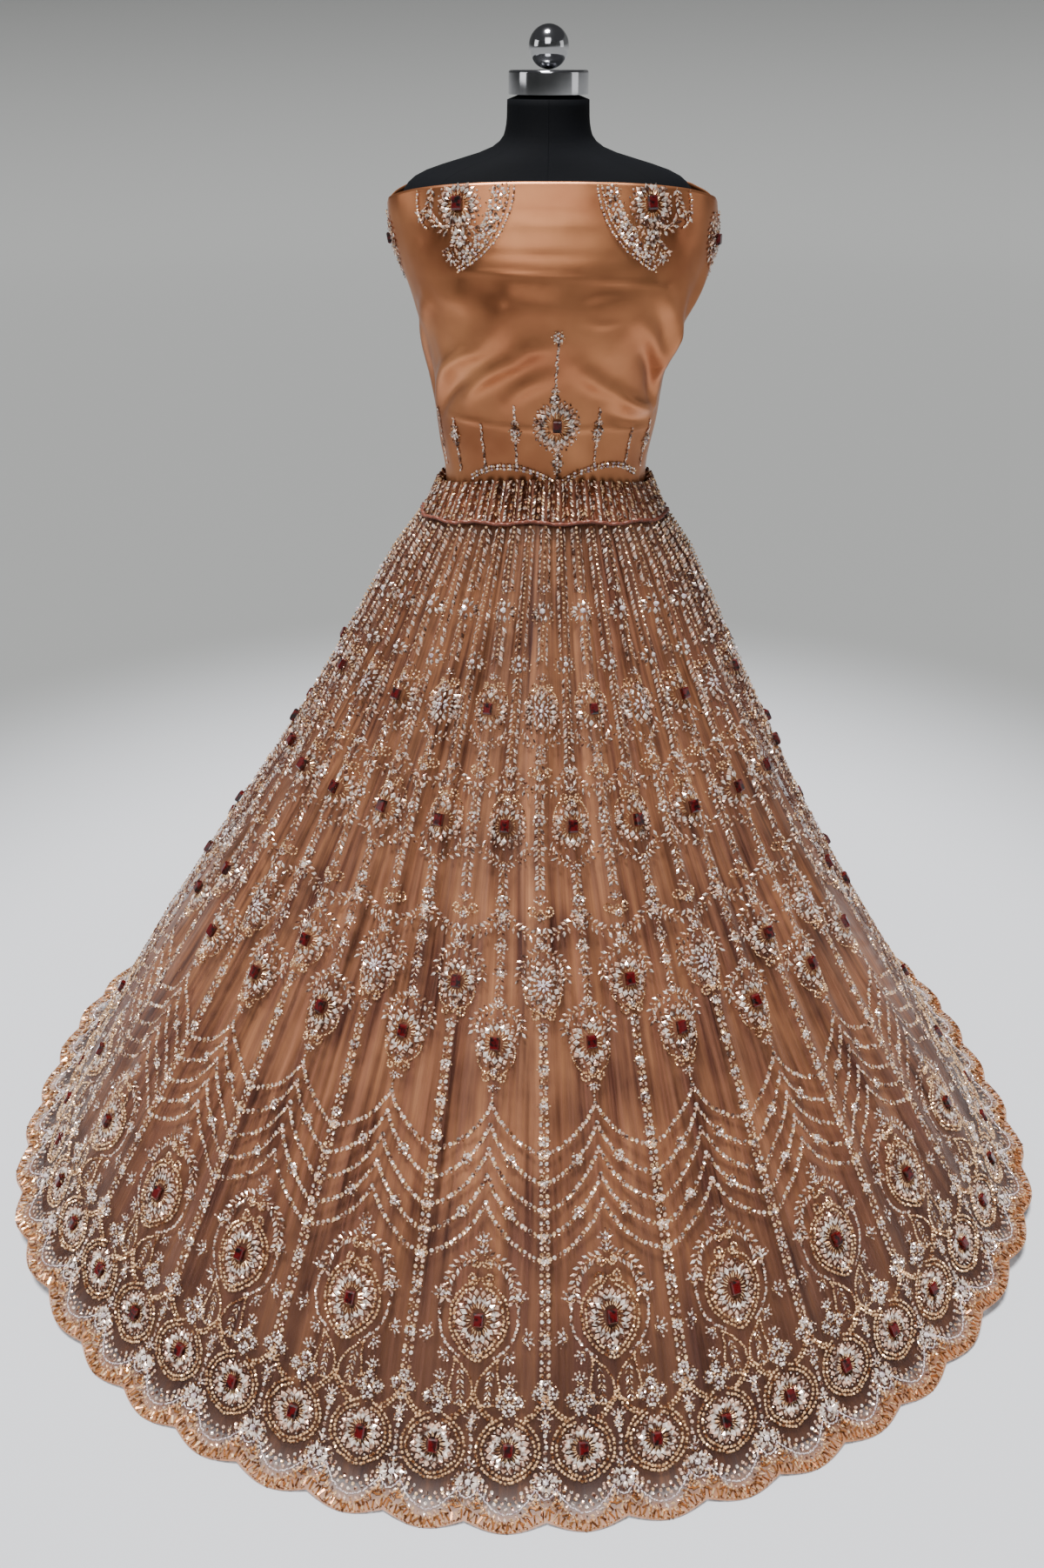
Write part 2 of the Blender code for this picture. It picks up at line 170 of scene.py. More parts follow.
def rounded(turn, height, half_width, front, back, squareness):
    """Points of a rounded section, at this turn in degrees from the front."""
    across, along = np.sin(np.radians(turn)), np.cos(np.radians(turn))
    power = 2.0 / squareness
    x = half_width * np.sign(across) * np.abs(across) ** power
    y = -np.where(along > 0, front, back) * np.sign(along) * np.abs(along) ** power
    return np.stack((x, y, height + 0.0 * turn), -1)


# Sections of the form: (height, half width, front, back, squareness).
FORM_SECTIONS = (
    (1.4170, 0.0468, 0.0468, 0.0468, 2.0),
    (1.3900, 0.0476, 0.0476, 0.0480, 2.0),
    (1.3740, 0.0510, 0.0500, 0.0510, 2.0),
    (1.3620, 0.0650, 0.0545, 0.0580, 2.0),
    (1.3520, 0.1000, 0.0600, 0.0660, 2.1),
    (1.3430, 0.1330, 0.0640, 0.0730, 2.2),
    (1.3340, 0.1560, 0.0690, 0.0780, 2.4),
    (1.3200, 0.1690, 0.0780, 0.0860, 2.5),
    (1.2960, 0.1730, 0.0900, 0.0920, 2.5),
    (1.2500, 0.1610, 0.1060, 0.0960, 2.3),
    (1.2050, 0.1480, 0.1150, 0.0960, 2.2),
    (1.1500, 0.1360, 0.1060, 0.0920, 2.1),
    (1.0900, 0.1260, 0.0940, 0.0840, 2.0),
    (1.0300, 0.1240, 0.0900, 0.0860, 2.0),
    (1.0000, 0.1261, 0.0931, 0.0931, 2.0),
    (0.9550, 0.1261, 0.0931, 0.0931, 2.0),
    (0.9200, 0.1340, 0.0980, 0.1010, 2.1),
    (0.8600, 0.1560, 0.1160, 0.1220, 2.2),
    (0.8000, 0.1640, 0.1220, 0.1300, 2.2),
    (0.7680, 0.1560, 0.1150, 0.1220, 2.2),
    (0.7600, 0.1300, 0.0950, 0.1000, 2.1),
)
FORM_TOP, FORM_BOTTOM = 1.4170, 0.7600
FORM_CLOSED = 0.012


def form_point(across, down):
    """The form, from the middle of its neck's end down to the middle of its underside."""
    turn = 180.0 + 360.0 * across
    body = np.clip((down - FORM_CLOSED) / (1.0 - 2.0 * FORM_CLOSED), 0.0, 1.0)
    height = FORM_TOP + (FORM_BOTTOM - FORM_TOP) * body
    width, front, back, squareness = (
        softened(FORM_SECTIONS, height, column, 0.005) for column in range(1, 5)
    )
    points = rounded(turn, height, width, front, back, squareness)
    points[..., :2] *= np.clip(np.minimum(down, 1.0 - down) / FORM_CLOSED, 0.0, 1.0)[..., None]
    return points


jersey, sockets, spot, share = material(
    "black_jersey", colour(8, 10, 14), 0.8, constants={"Specular IOR Level": 0.15}
)
ribs = {"Vector": spot, "Scale": 420.0, "Distortion": 2.0}
knit = spot.node("ShaderNodeTexWave", {"bands_direction": "Z"}, ribs)
cloud = spot.noise(9.0, 3.0)
PRINCESS_SEAMS = 8.0
around = share.node("ShaderNodeSeparateXYZ", None, {"Vector": share})
near_seam = around.maths("PINGPONG", around * PRINCESS_SEAMS, 0.5)
seam = near_seam.node("ShaderNodeMapRange", None, {0: near_seam, 1: 0.0, 2: 0.012, 3: 0.0, 4: 1.0})
cloud.mixed(colour(8, 9, 12), colour(20, 22, 27)).feeds(sockets["Base Color"])
bumped(knit * 0.2 + cloud * 0.2 + seam * 0.6, sockets, 0.0006)
finished("form_body", cloth("form_body", 64, 110, form_point), [jersey], ["dress_form"])


# Neck cap and ball: turned and polished chrome, the ball screwed into the cap. They close
# the form's neck, and are what it is lifted by.

chrome, sockets, spot, _ = material("polished_chrome", colour(205, 206, 210), 0.10, 1.0)
smear = spot.noise(60.0, 4.0)
(smear * 0.10 + 0.06).feeds(sockets["Roughness"])
smear.mixed(colour(190, 191, 196), colour(222, 222, 226)).feeds(sockets["Base Color"])


def to_mesh(name, shape):
    mesh = bpy.data.meshes.new(name)
    shape.to_mesh(mesh)
    shape.free()
    mesh.shade_smooth()
    return mesh


def turned(name, profile, steps):
    """A round piece, spun from (radius, height) points."""
    shape = bmesh.new()
    points = [shape.verts.new((radius, 0.0, height)) for radius, height in profile]
    edges = [shape.edges.new(pair) for pair in zip(points, points[1:])]
    whole = {"cent": (0, 0, 0), "axis": (0, 0, 1), "angle": 2 * math.pi}
    bmesh.ops.spin(shape, geom=points + edges, steps=steps, use_merge=True, **whole)
    bmesh.ops.remove_doubles(shape, verts=shape.verts, dist=0.00001)
    bmesh.ops.recalc_face_normals(shape, faces=shape.faces)
    mesh = to_mesh(name, shape)
    mesh.set_sharp_from_angle(angle=math.radians(35))
    return mesh


cap_low, cap_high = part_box("neck_cap")
ball_low, ball_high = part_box("neck_ball")
CAP_EDGE = 0.003
cap_radius = cap_high.x
cap_profile = [(0.0, cap_low.z), (cap_radius, cap_low.z), (cap_radius, cap_high.z - CAP_EDGE)]
for step in range(1, 7):
    bend = math.pi / 2 * step / 6
    cap_profile.append(
        (cap_radius - CAP_EDGE * (1 - math.cos(bend)), cap_high.z - CAP_EDGE * (1 - math.sin(bend)))
    )
cap_profile.append((0.0, cap_high.z))
finished("cap", turned("cap", cap_profile, 96), [chrome], ["neck_cap"])

shape = bmesh.new()
bmesh.ops.create_uvsphere(
    shape,
    u_segments=64,
    v_segments=40,
    radius=(ball_high.z - ball_low.z) / 2,
    matrix=Matrix.Translation((0, 0, (ball_low.z + ball_high.z) / 2)),
)
finished("ball", to_mesh("ball", shape), [chrome], ["neck_ball"])


# Pole and base: a steel tube and a round steel plate in black satin paint. They stand
# under the skirt and are seen only from below.

paint, sockets, spot, _ = material("black_paint", colour(38, 38, 41), 0.4)
grain = spot.noise(700.0, 2.0)
(grain * 0.2 + 0.3).feeds(sockets["Roughness"])
bumped(grain, sockets, 0.0001)
for node in ("stand_pole", "stand_base"):
    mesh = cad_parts[node].data
    mesh.materials.clear()
    mesh.materials.append(paint)


# Lining: the under-skirt of soft satin, cut in flared panels and sewn in at the waist. It
# ends above the scalloped border. The net is drawn over it, so the skirt's form is set here.

WAIST_HEIGHT = 1.000
WAIST_HALF_WIDTH = 0.1335
WAIST_HALF_DEPTH = 0.1005
WAIST_SIDE_DIP = 0.023
HEM_CENTRE_X = -0.030
BORDER_WIDTH = 0.053
BORDER_RISE = 0.030
BORDER_TOE = 0.018
BORDER_TOE_HEIGHT = 0.0065
HEM_HEIGHT = 0.0026
SPREAD_POWER = 1.14
HEM_LIFT = 0.022
HEM_LIFT_FROM = 42
HEM_LIFT_OVER = 15
PANEL_COUNT = 26
SEAM_CROWDING_DEG = 0.4
KNEE = 0.94
SLANT_LENGTH = 1.207
NET_WALL = 0.0020
LINING_CLEARANCE = 0.0012
LINING_TOP = 0.0425
LINING_END = 0.968

# The hem's plan: (degrees from the front, rising to +X; radius).
HEM_PLAN = (
    (-180, 0.710),
    (-150, 0.712),
    (-92, 0.755),
    (-58, 0.795),
    (62, 0.795),
    (95, 0.735),
    (150, 0.712),
    (180, 0.710),
)

# How far the seams lean towards +X as they go down: (share of the slant, degrees).
SEAM_LEAN = ((0.00, 0.0), (0.36, 0.2), (0.50, 1.4), (0.75, 1.8), (1.00, 2.0))

# How far the sides stand out from an even cone: (share of the slant, at -X, at +X).
SIDE_FULLNESS = (
    (0.000, 0.000, 0.000),
    (0.045, 0.004, 0.005),
    (0.100, 0.013, 0.015),
    (0.160, 0.013, 0.012),
    (0.250, 0.010, 0.006),
    (0.350, 0.009, 0.001),
    (0.450, 0.014, -0.005),
    (0.560, 0.019, -0.006),
    (0.700, 0.020, -0.002),
    (0.850, 0.008, 0.000),
    (0.940, 0.000, 0.000),
    (1.000, 0.000, 0.000),
)

# Half height of the gathers: (share of the slant, amplitude).
GATHER_DEPTHS = (
    (0.000, 0.0030),
    (0.045, 0.0035),
    (0.100, 0.0060),
    (0.200, 0.0080),
    (0.340, 0.0080),
    (0.500, 0.0060),
    (0.650, 0.0040),
    (0.810, 0.0028),
    (0.940, 0.0016),
    (1.000, 0.0008),
)


def eased(share):
    share = np.clip(share, 0.0, 1.0)
    return share * share * (3.0 - 2.0 * share)


def hem_radius(turn):
    turns, radii = np.array(HEM_PLAN).T
    after = np.clip(np.searchsorted(turns, turn), 1, len(turns) - 1)
    share = eased((turn - turns[after - 1]) / (turns[after] - turns[after - 1]))
    return radii[after - 1] + (radii[after] - radii[after - 1]) * share


def skirt_base(turn, slant):
    """Points of the skirt without its gathers, at this turn in degrees and share of the slant."""
    turn = (turn + 180.0) % 360.0 - 180.0
    across, along = np.sin(np.radians(turn)), np.cos(np.radians(turn))
    rim = hem_radius(turn)
    knee = rim - BORDER_WIDTH
    share = np.minimum(slant, KNEE) / KNEE
    spread = share ** SPREAD_POWER
    half_width = WAIST_HALF_WIDTH + (knee - WAIST_HALF_WIDTH) * spread
    half_depth = WAIST_HALF_DEPTH + (knee - WAIST_HALF_DEPTH) * spread
    height = WAIST_HEIGHT + (BORDER_RISE - WAIST_HEIGHT) * share
    lying = np.maximum(0.0, slant - KNEE) / (1.0 - KNEE)
    bend = 2.0 * lying * (1.0 - lying)
    start = (1.0 - lying) ** 2
    border = knee * start + (knee + BORDER_TOE) * bend + rim * lying ** 2
    half_width = np.where(slant > KNEE, border, half_width)
    half_depth = np.where(slant > KNEE, border, half_depth)
    flat = BORDER_RISE * start + BORDER_TOE_HEIGHT * bend + HEM_HEIGHT * lying ** 2
    height = np.where(slant > KNEE, flat, height)
    fullness = np.where(across > 0, from_table(SIDE_FULLNESS, slant, 2), from_table(SIDE_FULLNESS, slant, 1))
    half_width = half_width + fullness * across ** 2
    height = height - WAIST_SIDE_DIP * across ** 2 * (1.0 - slant) ** 4
    height = height + HEM_LIFT * eased((np.abs(turn) - HEM_LIFT_FROM) / HEM_LIFT_OVER) * slant ** 4
    return np.stack((HEM_CENTRE_X * slant + half_width * across, -half_depth * along, height), -1)


def unit(vectors):
    return vectors / np.maximum(1e-9, np.linalg.norm(vectors, axis=-1, keepdims=True))


def skirt_outward(turn, slant):
    across = skirt_base(turn + 0.2, slant) - skirt_base(turn - 0.2, slant)
    down = skirt_base(turn, np.minimum(1.0, slant + 0.002)) - skirt_base(turn, np.maximum(0.0, slant - 0.002))
    return unit(np.cross(down, across))


def seam_turn(panels, slant):
    """Where this seam, or this share of a panel, lies in degrees."""
    even = 360.0 * panels / PANEL_COUNT
    return even + from_table(SEAM_LEAN, slant) - SEAM_CROWDING_DEG * np.sin(np.radians(2 * even))


def rumple(seed, around, along, span):
    """Noise from 0 to 1 over (across, down) shares, which meets itself after across has run its span."""
    table = np.random.default_rng(seed).random((along + 1, around))

    def read(across, down):
        x = across / span * around
        y = np.clip(down, 0.0, 0.9999) * along
        column = np.floor(x).astype(int)
        row = np.floor(y).astype(int)
        fx, fy = eased(x - column), eased(y - row)
        left, right = column % around, (column + 1) % around
        upper = table[row, left] * (1 - fx) + table[row, right] * fx
        lower = table[row + 1, left] * (1 - fx) + table[row + 1, right] * fx
        return upper * (1 - fy) + lower * fy

    return read


BACK = PANEL_COUNT / 2
lining_folds = rumple(11, 66, 3, PANEL_COUNT)
satin_crinkle = rumple(12, 190, 26, PANEL_COUNT)
LINING_FOLD = ((0.0, 0.0), (0.08, 0.0025), (0.20, 0.0060), (0.45, 0.0090), (0.80, 0.0070), (1.0, 0.0060))
LINING_CRINKLE = ((0.0, 0.0003), (0.3, 0.0014), (0.6, 0.0024), (1.0, 0.0020))


def lining_point(panels, slant):
    turn = seam_turn(panels, slant)
    fold = from_table(LINING_FOLD, slant) * lining_folds(panels, slant)
    crinkle = from_table(LINING_CRINKLE, slant) * satin_crinkle(panels, slant)
    under = from_table(GATHER_DEPTHS, slant) + NET_WALL + LINING_CLEARANCE + fold + crinkle
    return skirt_base(turn, slant) + skirt_outward(turn, slant) * (-under)[..., None]


def satin(name, light, dark, gloss, streaks, shine=0.4):
    """Soft satin: a broad sheen, a fine weave, and clouds of painted light and shade drawn out along its
    streaks.
    """
    made, sockets, spot, share = material(name, light, gloss, shine)
    # Painted light and shade: long clouds mix the dark and light colours into bands that stand for the
    # satin's sheen and the shade in its folds.
    cloud = share.noise(1.0, 3.0, streaks) * 0.6 + spot.noise(12.0, 3.0) * 0.4
    cloud = cloud.node("ShaderNodeMapRange", None, {0: cloud, 1: 0.36, 2: 0.64, 3: 0.0, 4: 1.0})
    cloud.mixed(dark, light).feeds(sockets["Base Color"])
    (cloud * 0.12 + (gloss - 0.06)).feeds(sockets["Roughness"])
    weave = spot.noise(900.0, 1.0, (1.0, 1.0, 3.0))
    bumped(weave * 0.6 + spot.noise(120.0, 2.0) * 0.4, sockets, 0.00012, 0.6)
    return made


# The lining's light colour is its painted sheen and its dark colour painted shade in its folds.
under_satin = satin("under_satin", colour(216, 148, 104), colour(74, 40, 31), 0.34, (230.0, 5.0, 1.0))
lining = finished(
    "satin_lining",
    cloth("satin_lining", PANEL_COUNT * 17, 56, lambda across, down: lining_point(
        BACK + PANEL_COUNT * across, LINING_TOP + (LINING_END - LINING_TOP) * down
    )),
    [under_satin],
    ["lining"],
)


# Net skirt: twenty six flared panels of sheer net, gathered at the waist over the lining,
# with a scalloped border below it. It is a single sheet of net in many fine folds.

NET_END = 1.0
SCALLOP_DEPTH = 0.010
NET_OFF_FLOOR = 0.0006
net_folds = rumple(21, 26 * 7, 2, PANEL_COUNT)
net_shift = rumple(22, 26 * 2, 6, PANEL_COUNT)
NET_FOLD = ((0.0, 0.0010), (0.1, 0.0024), (0.3, 0.0036), (0.55, 0.0030), (0.8, 0.0016), (1.0, 0.0010))


def net_out(panels, slant):
    """How far the net stands off the skirt's base: two gathers a panel, and the finer folds between."""
    gather = from_table(GATHER_DEPTHS, slant) * np.cos(4.0 * math.pi * panels)
    drift = panels + 0.10 * (net_shift(panels, slant) - 0.5)
    crest = 1.0 - np.abs(2.0 * net_folds(drift, slant) - 1.0)
    return gather + from_table(NET_FOLD, slant) * (crest - 0.55)


def net_point(panels, slant):
    turn = seam_turn(panels, slant)
    points = skirt_base(turn, slant) + skirt_outward(turn, slant) * net_out(panels, slant)[..., None]
    points[..., 2] = np.maximum(NET_OFF_FLOOR, points[..., 2])
    return points


def scalloped(panels, down, top):
    """The slant at this share down a panel, whose lowest edge runs in two scallops."""
    end = NET_END - SCALLOP_DEPTH * (1.0 - np.abs(np.sin(2.0 * math.pi * panels)))
    return top + (end - top) * down


YOKE_END = 0.045
sheer, sockets, spot, share = material(
    "sheer_net", colour(184, 116, 78), 0.5, 0.0, {"Sheen Weight": 0.2, "Sheen Roughness": 0.4}
)
fine = share.noise(1.0, 2.0, (1100.0, 7.0, 1.0))
broad = share.noise(1.0, 2.0, (260.0, 3.0, 1.0))
streak = fine * 0.5 + broad * 0.5
streak = streak.node("ShaderNodeMapRange", None, {0: streak, 1: 0.36, 2: 0.64, 3: 0.0, 4: 1.0})
down = share.node("ShaderNodeSeparateXYZ", None, {"Vector": share}, out=1)
edge = down.node("ShaderNodeMapRange", None, {0: down, 1: 0.030, 2: 0.006, 3: 0.0, 4: 1.0})
border = down.node("ShaderNodeMapRange", None, {0: down, 1: 0.34, 2: 0.050, 3: 0.0, 4: 1.0})
# Painted shade: the streaks mix a dark and a lighter brown for light and shade in the net's folds,
# and the net is painted darker towards the hem for the shaded inside of the skirt seen through it. The very
# edge keeps the net's own peach.
veil = streak.mixed(colour(42, 22, 19), colour(128, 80, 64))
veil = border.mixed(veil, colour(54, 33, 27))
edge.mixed(veil, colour(158, 106, 72)).feeds(sockets["Base Color"])
(streak * 0.34 + 0.14 + border * 0.40 + edge * 0.10).feeds(sockets["Alpha"])
bumped(spot.noise(1100.0, 1.0), sockets, 0.0002, 0.5)
net = finished(
    "net_skirt",
    cloth("net_skirt", PANEL_COUNT * 26, 68, lambda across, down: net_point(
        BACK + PANEL_COUNT * across, scalloped(BACK + PANEL_COUNT * across, down, YOKE_END - 0.002)
    )),
    [sheer],
    [f"kali_{number:02d}" for number in range(1, PANEL_COUNT + 1)],
)


# Yoke: a band of the same net over satin, gathered hard into the waist seam and covered
# with beads. Its upper edge stands up in small frills round the choli.

YOKE_FRILL = 0.0036
YOKE_PUFF = 0.0060
YOKE_WRINKLE = 0.0024
YOKE_OVER_NET = 0.0010
yoke_folds = rumple(31, PANEL_COUNT * 4, 2, PANEL_COUNT)


def yoke_point(panels, slant):
    """Rounded puffs with sharp valleys between them, pinched by the piping below."""
    puff = 1.7 * np.abs(np.cos(2.0 * math.pi * panels)) ** 0.8 - 1.0
    pinch = 1.0 - 0.6 * (slant / YOKE_END) ** 3
    swell = YOKE_PUFF * puff * pinch + YOKE_WRINKLE * (yoke_folds(panels, slant / YOKE_END) - 0.5)
    turn = seam_turn(panels, slant)
    points = skirt_base(turn, slant) + skirt_outward(turn, slant) * (swell + YOKE_OVER_NET)[..., None]
    points[..., 2] += YOKE_FRILL * puff * (1.0 - slant / YOKE_END)
    return points


yoke = finished(
    "gathered_yoke",
    cloth("gathered_yoke", PANEL_COUNT * 20, 14, lambda across, down: yoke_point(
        BACK + PANEL_COUNT * across, YOKE_END * down
    )),
    [satin("yoke_satin", colour(150, 90, 64), colour(70, 38, 28), 0.36, (300.0, 2.0, 1.0))],
    ["yoke_front", "yoke_back"],
)


# Piping: a satin covered cord laid over the seam under the yoke. It wavers over the
# gathers' ridges, as it is sewn on by hand.

PIPING_RADIUS = 0.0022
PIPING_GAP = 0.0001
PIPING_WAVE = 0.0015
PIPING_BRIDGE = 0.12
corded, sockets, spot, _ = material("corded_satin", colour(118, 58, 44), 0.40, 0.1, {"Sheen Weight": 0.2})
twist = spot.noise(400.0, 2.0)
twist.mixed(colour(88, 42, 32), colour(150, 84, 64)).feeds(sockets["Base Color"])
bumped(twist, sockets, 0.0003)
panels = np.arange(PANEL_COUNT * 8) / 8
slants = YOKE_END + PIPING_WAVE * np.sin(math.pi * panels)
route = bpy.data.curves.new("piping", "CURVE")
route.dimensions = "3D"
line = route.splines.new("POLY")
line.points.add(len(panels) - 1)
ridge = from_table(GATHER_DEPTHS, slants) * (1.0 - np.cos(4.0 * math.pi * panels)) * PIPING_BRIDGE
turn = seam_turn(panels, slants)
gathered = from_table(GATHER_DEPTHS, slants) * np.cos(4.0 * math.pi * panels)
centre = skirt_base(turn, slants)
centre = centre + skirt_outward(turn, slants) * (gathered + ridge + PIPING_RADIUS + PIPING_GAP)[:, None]
for point, place in zip(line.points, centre):
    point.co = (*place, 1.0)
line.use_cyclic_u = True
route.bevel_depth = PIPING_RADIUS
route.bevel_resolution = 3
finished("piping", route, [corded], ["waist_piping"])


# Choli: a length of soft satin for the blouse, not sewn up. It is wrapped round the form
# under its shoulders, pinned behind, and tucked into the skirt's waist, so it falls in soft folds.

# Sections of the choli: (height, half width to -X, half width to +X, front, back, squareness).
CHOLI_SECTIONS = (
    (1.340, 0.186, 0.192, 0.088, 0.095, 2.5),
    (1.300, 0.189, 0.200, 0.102, 0.104, 2.5),
    (1.256, 0.181, 0.200, 0.114, 0.106, 2.4),
    (1.210, 0.164, 0.188, 0.121, 0.104, 2.3),
    (1.160, 0.150, 0.161, 0.116, 0.098, 2.2),
    (1.110, 0.140, 0.144, 0.104, 0.092, 2.1),
    (1.060, 0.138, 0.140, 0.098, 0.088, 2.0),
    (1.030, 0.134, 0.134, 0.096, 0.091, 2.0),
    (1.000, 0.128, 0.128, 0.095, 0.095, 2.0),
    (0.955, 0.128, 0.128, 0.095, 0.095, 2.0),
)
CHOLI_TOP_FRONT = 1.334
CHOLI_TOP_SIDE = 1.300
CHOLI_END = 0.975
CLOTH_A_DEGREE = 0.0024

# Creases of the choli: (degrees and height of one end, of the other end, ridge or trough, half width, bow).
CHOLI_CREASES = (
    (-98, 1.072, -57, 1.208, 0.0060, 0.011, 0.012),
    (-90, 1.066, -66, 1.190, -0.0035, 0.008, 0.010),
    (-76, 1.078, -32, 1.153, 0.0055, 0.010, 0.012),
    (-68, 1.070, -40, 1.120, -0.0030, 0.008, 0.006),
    (-43, 1.097, -13, 1.143, 0.0042, 0.010, 0.004),
    (-32, 1.153, -14, 1.213, 0.0040, 0.014, -0.006),
    (-19, 1.094, 0, 1.125, 0.0030, 0.010, 0.003),
    (-13, 1.143, 0, 1.163, 0.0034, 0.011, 0.003),
    (-49, 1.222, -29, 1.212, 0.0022, 0.013, -0.004),
    (-29, 1.212, -12, 1.216, -0.0018, 0.014, 0.005),
    (-12, 1.206, 8, 1.210, 0.0014, 0.015, -0.004),
    (8, 1.213, 26, 1.222, -0.0026, 0.012, 0.004),
    (12, 1.190, 24, 1.186, 0.0009, 0.004, -0.003),
    (69, 1.083, 35, 1.188, 0.0055, 0.010, -0.010),
    (66, 1.074, 44, 1.150, -0.0032, 0.008, -0.006),
    (70, 1.105, 42, 1.216, 0.0058, 0.010, -0.008),
    (62, 1.122, 53, 1.219, 0.0046, 0.009, -0.004),
    (60, 1.132, 72, 1.238, 0.0046, 0.010, 0.004),
    (74, 1.120, 84, 1.236, -0.0040, 0.009, 0.000),
    (88, 1.100, 96, 1.226, 0.0026, 0.012, 0.000),
    (66, 1.076, 32, 1.105, 0.0050, 0.009, 0.006),
    (32, 1.105, 12, 1.138, 0.0036, 0.010, 0.004),
    (60, 1.062, 30, 1.080, -0.0024, 0.007, 0.004),
    (-60, 1.070, -30, 1.066, 0.0012, 0.003, 0.000),
    (-30, 1.066, 34, 1.062, 0.0010, 0.003, -0.002),
    (34, 1.060, 66, 1.052, 0.0012, 0.003, 0.000),
    (-34, 1.242, 6, 1.236, 0.0008, 0.003, 0.001),
    (6, 1.236, 44, 1.222, 0.0009, 0.003, 0.001),
    (-8, 1.305, 8, 1.301, -0.0005, 0.004, 0.000),
    (-10, 1.292, 14, 1.290, 0.0004, 0.005, 0.001),
    (-24, 1.262, 18, 1.258, -0.0004, 0.005, 0.000),
    (104, 1.070, 122, 1.206, 0.0060, 0.012, 0.008),
    (112, 1.062, 146, 1.190, -0.0036, 0.009, 0.008),
    (128, 1.074, 166, 1.176, 0.0055, 0.012, -0.006),
    (150, 1.060, 186, 1.120, 0.0034, 0.010, 0.004),
    (-108, 1.072, -128, 1.196, 0.0058, 0.011, -0.008),
    (-118, 1.066, -150, 1.174, -0.0034, 0.009, -0.004),
    (-134, 1.070, -168, 1.158, 0.0050, 0.011, 0.006),
    (-156, 1.058, -178, 1.110, 0.0030, 0.009, 0.003),
    (150, 1.262, 196, 1.256, 0.0012, 0.004, 0.002),
)


def creased(turn, height):
    """How far the choli's creases stand out here. Each runs from end to end with a small bow."""
    total = 0.0
    for turn_a, height_a, turn_b, height_b, ridge, half_width, bow in CHOLI_CREASES:
        run = np.array(((turn_b - turn_a) * CLOTH_A_DEGREE, height_b - height_a))
        length = np.hypot(*run)
        ahead, aside = run / length, np.array((-run[1], run[0])) / length
        away = (turn - turn_a + 180.0) % 360.0 - 180.0
        along = (away * CLOTH_A_DEGREE * ahead[0] + (height - height_a) * ahead[1]) / length
        off = away * CLOTH_A_DEGREE * aside[0] + (height - height_a) * aside[1]
        inside = np.clip(along, 0.0, 1.0)
        off = off - bow * 4.0 * inside * (1.0 - inside)
        past = (along - inside) * length
        shape = np.exp(-(off ** 2 + past ** 2) / half_width ** 2)
        total = total + ridge * shape * (0.35 + 0.65 * np.sin(math.pi * inside))
    return total


choli_ripple = rumple(41, 44, 12, 360.0)
CREASE_DEPTH = 1.35
RIPPLE_DEPTH = 0.0020


def choli_point(turn, height, out=0.0):
    left, right, front, back, squareness = (
        softened(CHOLI_SECTIONS, height, column, 0.012) for column in range(1, 6)
    )
    soft = RIPPLE_DEPTH * (choli_ripple(turn, (height - 0.95) / 0.4) - 0.5)
    out = out + CREASE_DEPTH * creased(turn, height) + soft
    half_width = np.where(np.sin(np.radians(turn)) > 0, right, left)
    return rounded(turn, height, half_width + out, front + out, back + out, squareness)


def choli_top(turn):
    return CHOLI_TOP_SIDE + (CHOLI_TOP_FRONT - CHOLI_TOP_SIDE) * np.abs(np.cos(np.radians(turn))) ** 0.7


def choli_cloth(across, down):
    turn = 180.0 + 360.0 * across
    top = choli_top(turn)
    return choli_point(turn, top + (CHOLI_END - top) * down)


blouse = finished(
    "choli_wrap",
    cloth("choli_wrap", 208, 110, choli_cloth),
    [satin("choli_satin", colour(208, 141, 98), colour(162, 101, 70), 0.36, (6.0, 3.0, 1.0), 0.85)],
    ["choli_front", "choli_back"],
)
wall = blouse.modifiers.new("wall", "SOLIDIFY")
wall.thickness = 0.0010
wall.offset = -1.0


# Embroidery: beads, sequins, cut bugles and stones, sewn by hand through the net. Each cut is
# modelled once, and every copy is laid on the cloth, tilted a little as sewn beads are.

def domed(shape, sides, rise):
    """A flat outline whose middle is raised."""
    bmesh.ops.create_circle(shape, cap_ends=True, cap_tris=True, segments=sides, radius=0.5)
    min(shape.verts, key=lambda vert: vert.co.length).co.z = rise


def round_cut(shape):
    domed(shape, 6, 0.6)


def leaf_cut(shape):
    domed(shape, 4, 0.5)


def sequin_cut(shape):
    domed(shape, 6, -0.3)


def bugle_cut(shape):
    lying = Matrix.Rotation(math.radians(90), 4, "Y")
    bmesh.ops.create_cone(shape, segments=3, radius1=0.5, radius2=0.5, depth=1.0, matrix=lying)


def stone_cut(shape):
    bmesh.ops.create_cube(shape, size=1.0)
    top = [face for face in shape.faces if face.normal.z > 0.9]
    bmesh.ops.inset_region(shape, faces=top, thickness=0.16, depth=0.3)


def crystal_cut(shape):
    bmesh.ops.create_cone(shape, cap_ends=True, segments=6, radius1=0.5, radius2=0.26, depth=0.8)
    bmesh.ops.delete(shape, geom=[face for face in shape.faces if face.normal.z < -0.9], context="FACES")


def cut(build):
    """A bead's points and triangles, once the bmesh operators have shaped it."""
    shape = bmesh.new()
    build(shape)
    bmesh.ops.triangulate(shape, faces=shape.faces)
    shape.verts.index_update()
    points = np.array([vert.co for vert in shape.verts])
    faces = np.array([[vert.index for vert in face.verts] for face in shape.faces])
    shape.free()
    return points, faces


